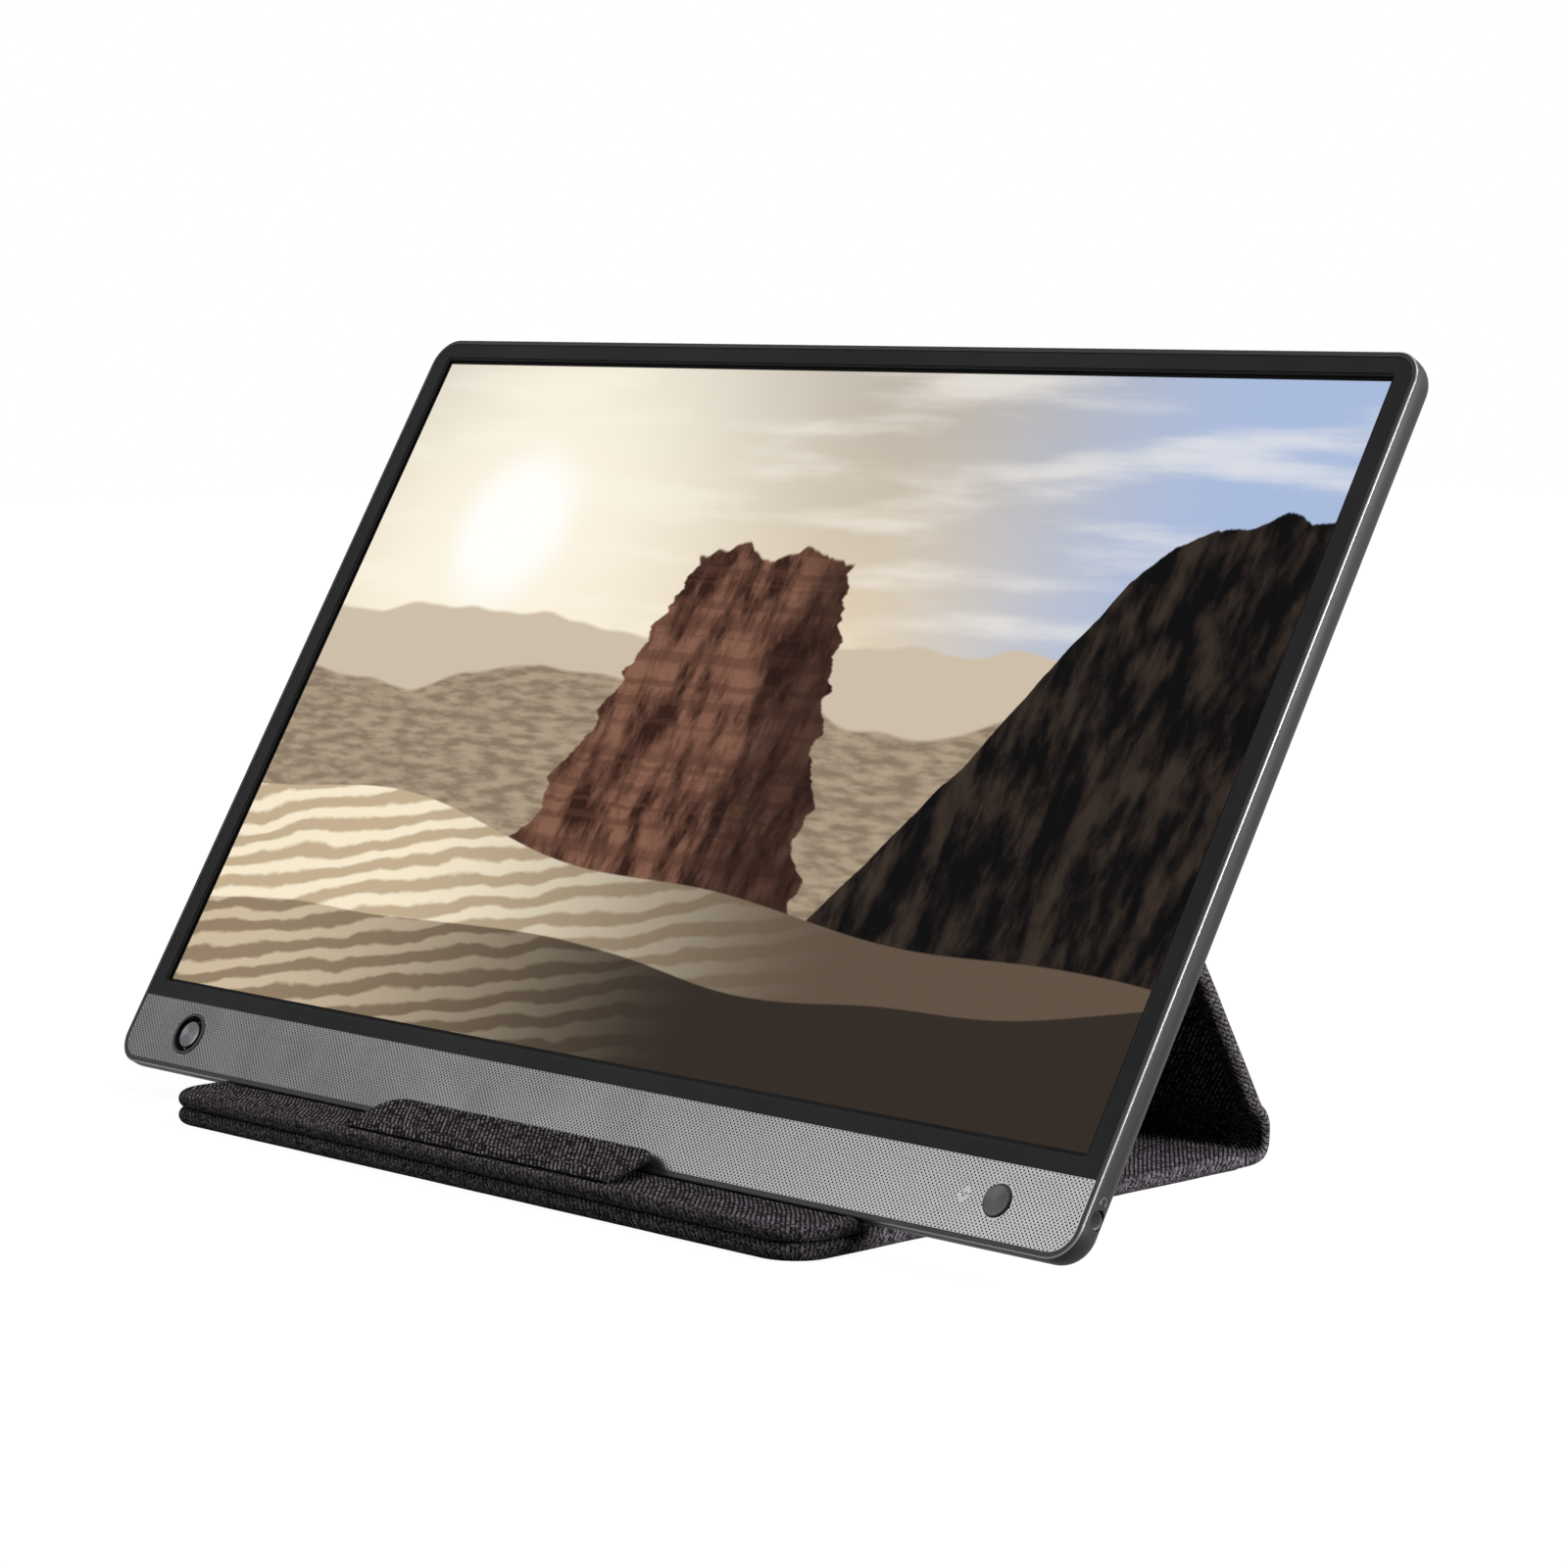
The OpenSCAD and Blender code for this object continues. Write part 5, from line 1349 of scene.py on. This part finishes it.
class PM_OT_cover(PieceOperator, bpy.types.Operator):
    """Build the four covered panels and the soft folds between them"""

    bl_idname = "pm.cover"
    bl_label = "Folding Cover"

    def build(self, scene):
        places, reaches = cover_places()
        foot_end, top_end = reaches["foot"][1], foot_top_end()
        reaches["foot"] = (0.0, (top_end + foot_end) / 2)
        for name, (corner, rounds, seed, flare) in PANELS.items():
            shear = (foot_end - top_end) / 2 if name == "foot" else 0.0
            place_matrix, reach = places[name], reaches[name]
            made = soft_panel(
                name + "_panel", place_matrix, COVER_W, reach, PANEL_T, corner, rounds,
                scene.pm_cover, seed, shear, flare,
            )
            cover_piece(made, [name + "_fabric"], name)
        self.rear_fold(places["prop"], reaches["prop"][1])
        self.crest_fold(places, reaches)
        self.valley_fold(places["support"], reaches["support"][0])

    def rear_fold(self, prop_place, prop_end):
        """The loose fold round the rear axis, tucked into both its panels."""
        end_y, end_z = in_side(prop_place, prop_end, 0)
        turn_high = math.atan2(end_z - REAR_AXIS.z, end_y - REAR_AXIS.y)
        turns = np.linspace(-math.pi / 2, turn_high, 44)
        reach = np.interp(np.degrees(turns), FOLD_TURNS, FOLD_REACH)
        for _ in range(4):
            reach[1:-1] = (reach[:-2] + 2 * reach[1:-1] + reach[2:]) / 4
        reach *= FOLD_MID_R
        path = [
            (REAR_AXIS.y + r * math.cos(a), REAR_AXIS.z + r * math.sin(a))
            for a, r in zip(turns, reach)
        ]
        half = PANEL_T / 2
        shares = (0.8, 0.8, 0.62, 0.62, 0.8, 0.8)
        halves = stretched([half * share for share in shares], len(path))
        ahead = (Vector(path[-1]) - Vector(path[-2])).normalized()
        tucked = Vector(path[-1]) + ahead * TUCK
        path = [(path[0][0] - TUCK, path[0][1]), *path, tuple(tucked)]
        halves = [half * 0.55, *halves, half * 0.55]
        band = soft_band("rear_fold_band", path, halves, COVER_W - 1 * MM, 5.0)
        cover_piece(band, ["rear_fold"], "base", "prop", path=path, ends=(3, -4))

    def crest_fold(self, places, reaches):
        """The fold over the top of the stand."""
        start = in_side(places["prop"], reaches["prop"][0], 0)
        stop = in_side(places["support"], reaches["support"][1], 0)
        path = bezier(start, (CREST_AXIS.y, CREST_AXIS.z + 1.4 * MM), stop, 18)
        halves = [PANEL_T / 2 * share for share in (1, 0.7, 0.55, 0.7, 1)]
        band = soft_band("crest_fold_band", path, halves, COVER_W - 1 * MM, 7.0)
        nodes = ["crest_fold", "support_lip"]
        cover_piece(band, nodes, "prop", "support", path=path, ends=(5, 13))

    def valley_fold(self, support_place, support_end):
        """The lining from the foot's rear end into the support, tucked into the foot."""
        low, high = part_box("valley_strip")
        lift = (low.z + high.z) / 2
        start = (low.y + 0.1 * MM, lift)
        stop = in_side(support_place, support_end + 0.5 * MM, -0.9 * MM)
        tucked = (start[0] - 2.5 * MM, lift + 0.9 * MM)
        path = [tucked, *bezier(start, (stop[0] - 2.5 * MM, lift), stop, 12)]
        halves = [(high.z - low.z) / 2, 0.55 * MM]
        width = COVER_W - 2 * MM
        band = soft_band("valley_fold_band", path, halves, width, 9.0, cloth="cover_fabric")
        cover_piece(band, ["valley_strip"], "foot", "support", path=path, ends=(7, 12))


def foot_top_end():
    """How far the foot's upper face reaches before its slanted rear end."""
    points = node_points("foot_fabric")
    upper = points[points[:, 2] > points[:, 2].max() - 0.02 * MM]
    return float(upper[:, 1].max()) - BASE_LOW.y


class PM_OT_flap(PieceOperator, bpy.types.Operator):
    """Build the small flap in front of the monitor and its soft crease"""

    bl_idname = "pm.flap"
    bl_label = "Front Flap"

    def build(self, scene):
        board = node_points("flap_board")[:, 1:]
        _, _, axes = np.linalg.svd(board - board.mean(axis=0), full_matrices=False)
        along = axes[0] if axes[0][0] > 0 else -axes[0]
        lean = math.atan2(along[1], along[0])
        low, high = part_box("front_flap")
        width, centre = high.x - low.x, (low.x + high.x) / 2 + FLAP_SHIFT
        ahead = Vector((0, math.cos(lean), math.sin(lean)))
        spot = place(RIGHT, ahead, RIGHT.cross(ahead), Vector((centre, *FLAP_AXIS.yz)))
        local = points_in(spot, "front_flap")
        thick = float(local[:, 2].max() - local[:, 2].min())
        reach = (0.0, float(local[:, 1].max()))
        flap = soft_panel(
            "flap_panel", spot, width, reach, thick, 6 * MM, (False, True), scene.pm_cover, 31.0
        )
        cover_piece(flap, ["front_flap"], "flap")

        foot_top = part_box("foot_fabric")[1].z
        start = (FLAP_AXIS.y - 2.6 * MM, foot_top + 0.1 * MM)
        bend = (FLAP_AXIS.y - 1.2 * MM, foot_top + 0.5 * MM)
        path = bezier(start, bend, tuple((FLAP_AXIS + ahead * CREASE_TUCK).yz), 10)
        halves = [0.2 * MM, 0.6 * MM, thick / 2]
        crease = soft_band("flap_crease_band", path, halves, width - 0.4 * MM, 13.0, centre)
        cover_piece(crease, [], "foot", "flap", path=path, ends=(3, 9))


# ---- stage ----

WHITE = (1, 1, 1)
CAMERA_SPOT = (0.840485, -0.753026, 0.218235)
CAMERA_TURNS = (47.355, -6.332, 0.144)
CAMERA_LENS = 103.696
# Lamps: property of the power, place, aim and width of the square.
LAMPS = {
    "key": ("key", (0.1, 0.1, 1.3), (0, 0, 0.05), 1.3),
    "front": ("fill", (-0.38, -0.66, 0.41), (0.18, -0.065, 0.02), 0.4),
    "rear": ("kicker", (0.75, 0.75, 0.75), (0.1, 0.06, 0.02), 0.5),
    "side": ("side", (0.95, 0.24, 0.28), (0.1, 0.05, 0.02), 0.3),
}


def area_light(name, spot, target, wide, watts):
    """Square lamp aimed at a point and not seen by the camera."""
    data = bpy.data.lights.new(name, "AREA")
    data.shape = "RECTANGLE"
    data.size, data.size_y, data.energy = wide, wide, watts
    lamp = new_object(name, data)
    lamp.location = spot
    lamp.rotation_euler = (Vector(target) - Vector(spot)).to_track_quat("-Z", "Y").to_euler()
    lamp.visible_camera = False


def floor_material():
    """White to the camera and in reflections, and a dim bounce for the rest."""
    s = Shader("floor")
    diffuse = s.node("ShaderNodeLightPath", output="Is Diffuse Ray")
    bounce = s.mix(diffuse, (0.55, 0.55, 0.55), (0.08, 0.08, 0.08))
    s.set(base_color=bounce, roughness=0.9, specular_ior_level=0.1)
    far = s.node("ShaderNodeVectorMath", {0: s.coords()}, "Value", operation="LENGTH")
    glow = s.node("ShaderNodeEmission", {"Color": WHITE, "Strength": 1.065})
    share = s.seen() * s.ramp(far, 0.3, 0.9, 0.9, 1.0)
    blend = {0: share, 1: s.surface.outputs[0], 2: glow}
    s.put(s.output.inputs["Surface"], s.node("ShaderNodeMixShader", blend))
    return s.material


class PM_OT_stage(PieceOperator, bpy.types.Operator):
    """Set the camera, the pale floor, the white room and the soft lights"""

    bl_idname = "pm.stage"
    bl_label = "Stage"

    def build(self, scene):
        data = bpy.data.cameras.new("camera")
        data.sensor_width, data.lens = 36, CAMERA_LENS
        data.clip_start, data.clip_end = 0.01, 50
        camera = new_object("camera", data)
        azimuth, elevation, roll = (math.radians(v) for v in CAMERA_TURNS)
        level = math.cos(elevation)
        forward = Vector(
            (-math.sin(azimuth) * level, math.cos(azimuth) * level, math.sin(elevation))
        )
        right = forward.cross(Vector((0, 0, 1))).normalized()
        axes = Matrix((right, right.cross(forward), -forward)).transposed()
        turned = Matrix.Rotation(roll, 3, forward) @ axes
        camera.matrix_world = Matrix.Translation(Vector(CAMERA_SPOT)) @ turned.to_4x4()
        scene.camera = camera
        scene.view_settings.view_transform = "Standard"

        mesh = bpy.data.meshes.new("floor")
        mesh.from_pydata([(-3, -3, 0), (3, -3, 0), (3, 3, 0), (-3, 3, 0)], [], [(0, 1, 2, 3)])
        mesh.materials.append(floor_material())
        new_object("floor", mesh)

        world = bpy.data.worlds.new("room")
        scene.world = world
        world.use_nodes = True
        room = Tree(world.node_tree)
        dim, bright = (
            room.node("ShaderNodeBackground", {"Color": WHITE, "Strength": strength})
            for strength in (scene.pm_stage.ambient, 1.0)
        )
        mixed = room.node("ShaderNodeMixShader", {0: room.seen(), 1: dim, 2: bright})
        room.add("ShaderNodeOutputWorld", {"Surface": mixed})

        for name, (power_name, spot, target, wide) in LAMPS.items():
            area_light(name, spot, target, wide, getattr(scene.pm_stage, power_name))


# ---- add-on ----


class PM_PT_panel(bpy.types.Panel):
    """Lists the pieces in the order in which they are built"""

    bl_idname = "PM_PT_panel"
    bl_label = "Portable Monitor"
    bl_space_type = "VIEW_3D"
    bl_region_type = "UI"
    bl_category = "Monitor"

    def draw(self, context):
        for operator in OPERATORS:
            self.layout.operator(operator.bl_idname)
        for group in GROUPS:
            box = self.layout.box()
            for key in GROUPS[group].__annotations__:
                box.prop(getattr(context.scene, group), key)


OPERATORS = (
    PM_OT_stage,
    PM_OT_inner_nodes,
    PM_OT_casing,
    PM_OT_bezel,
    PM_OT_screen,
    PM_OT_grille,
    PM_OT_controls,
    PM_OT_jack,
    PM_OT_cover,
    PM_OT_flap,
)
CLASSES = (*GROUPS.values(), *OPERATORS, PM_PT_panel)


def register():
    for made in CLASSES:
        bpy.utils.register_class(made)
    for name, group in GROUPS.items():
        setattr(bpy.types.Scene, name, bpy.props.PointerProperty(type=group))


def unregister():
    for name in GROUPS:
        delattr(bpy.types.Scene, name)
    for made in reversed(CLASSES):
        bpy.utils.unregister_class(made)


def main():
    register()
    for operator in OPERATORS:
        group, name = operator.bl_idname.split(".")
        getattr(getattr(bpy.ops, group), name)()


if __name__ == "__main__":
    main()
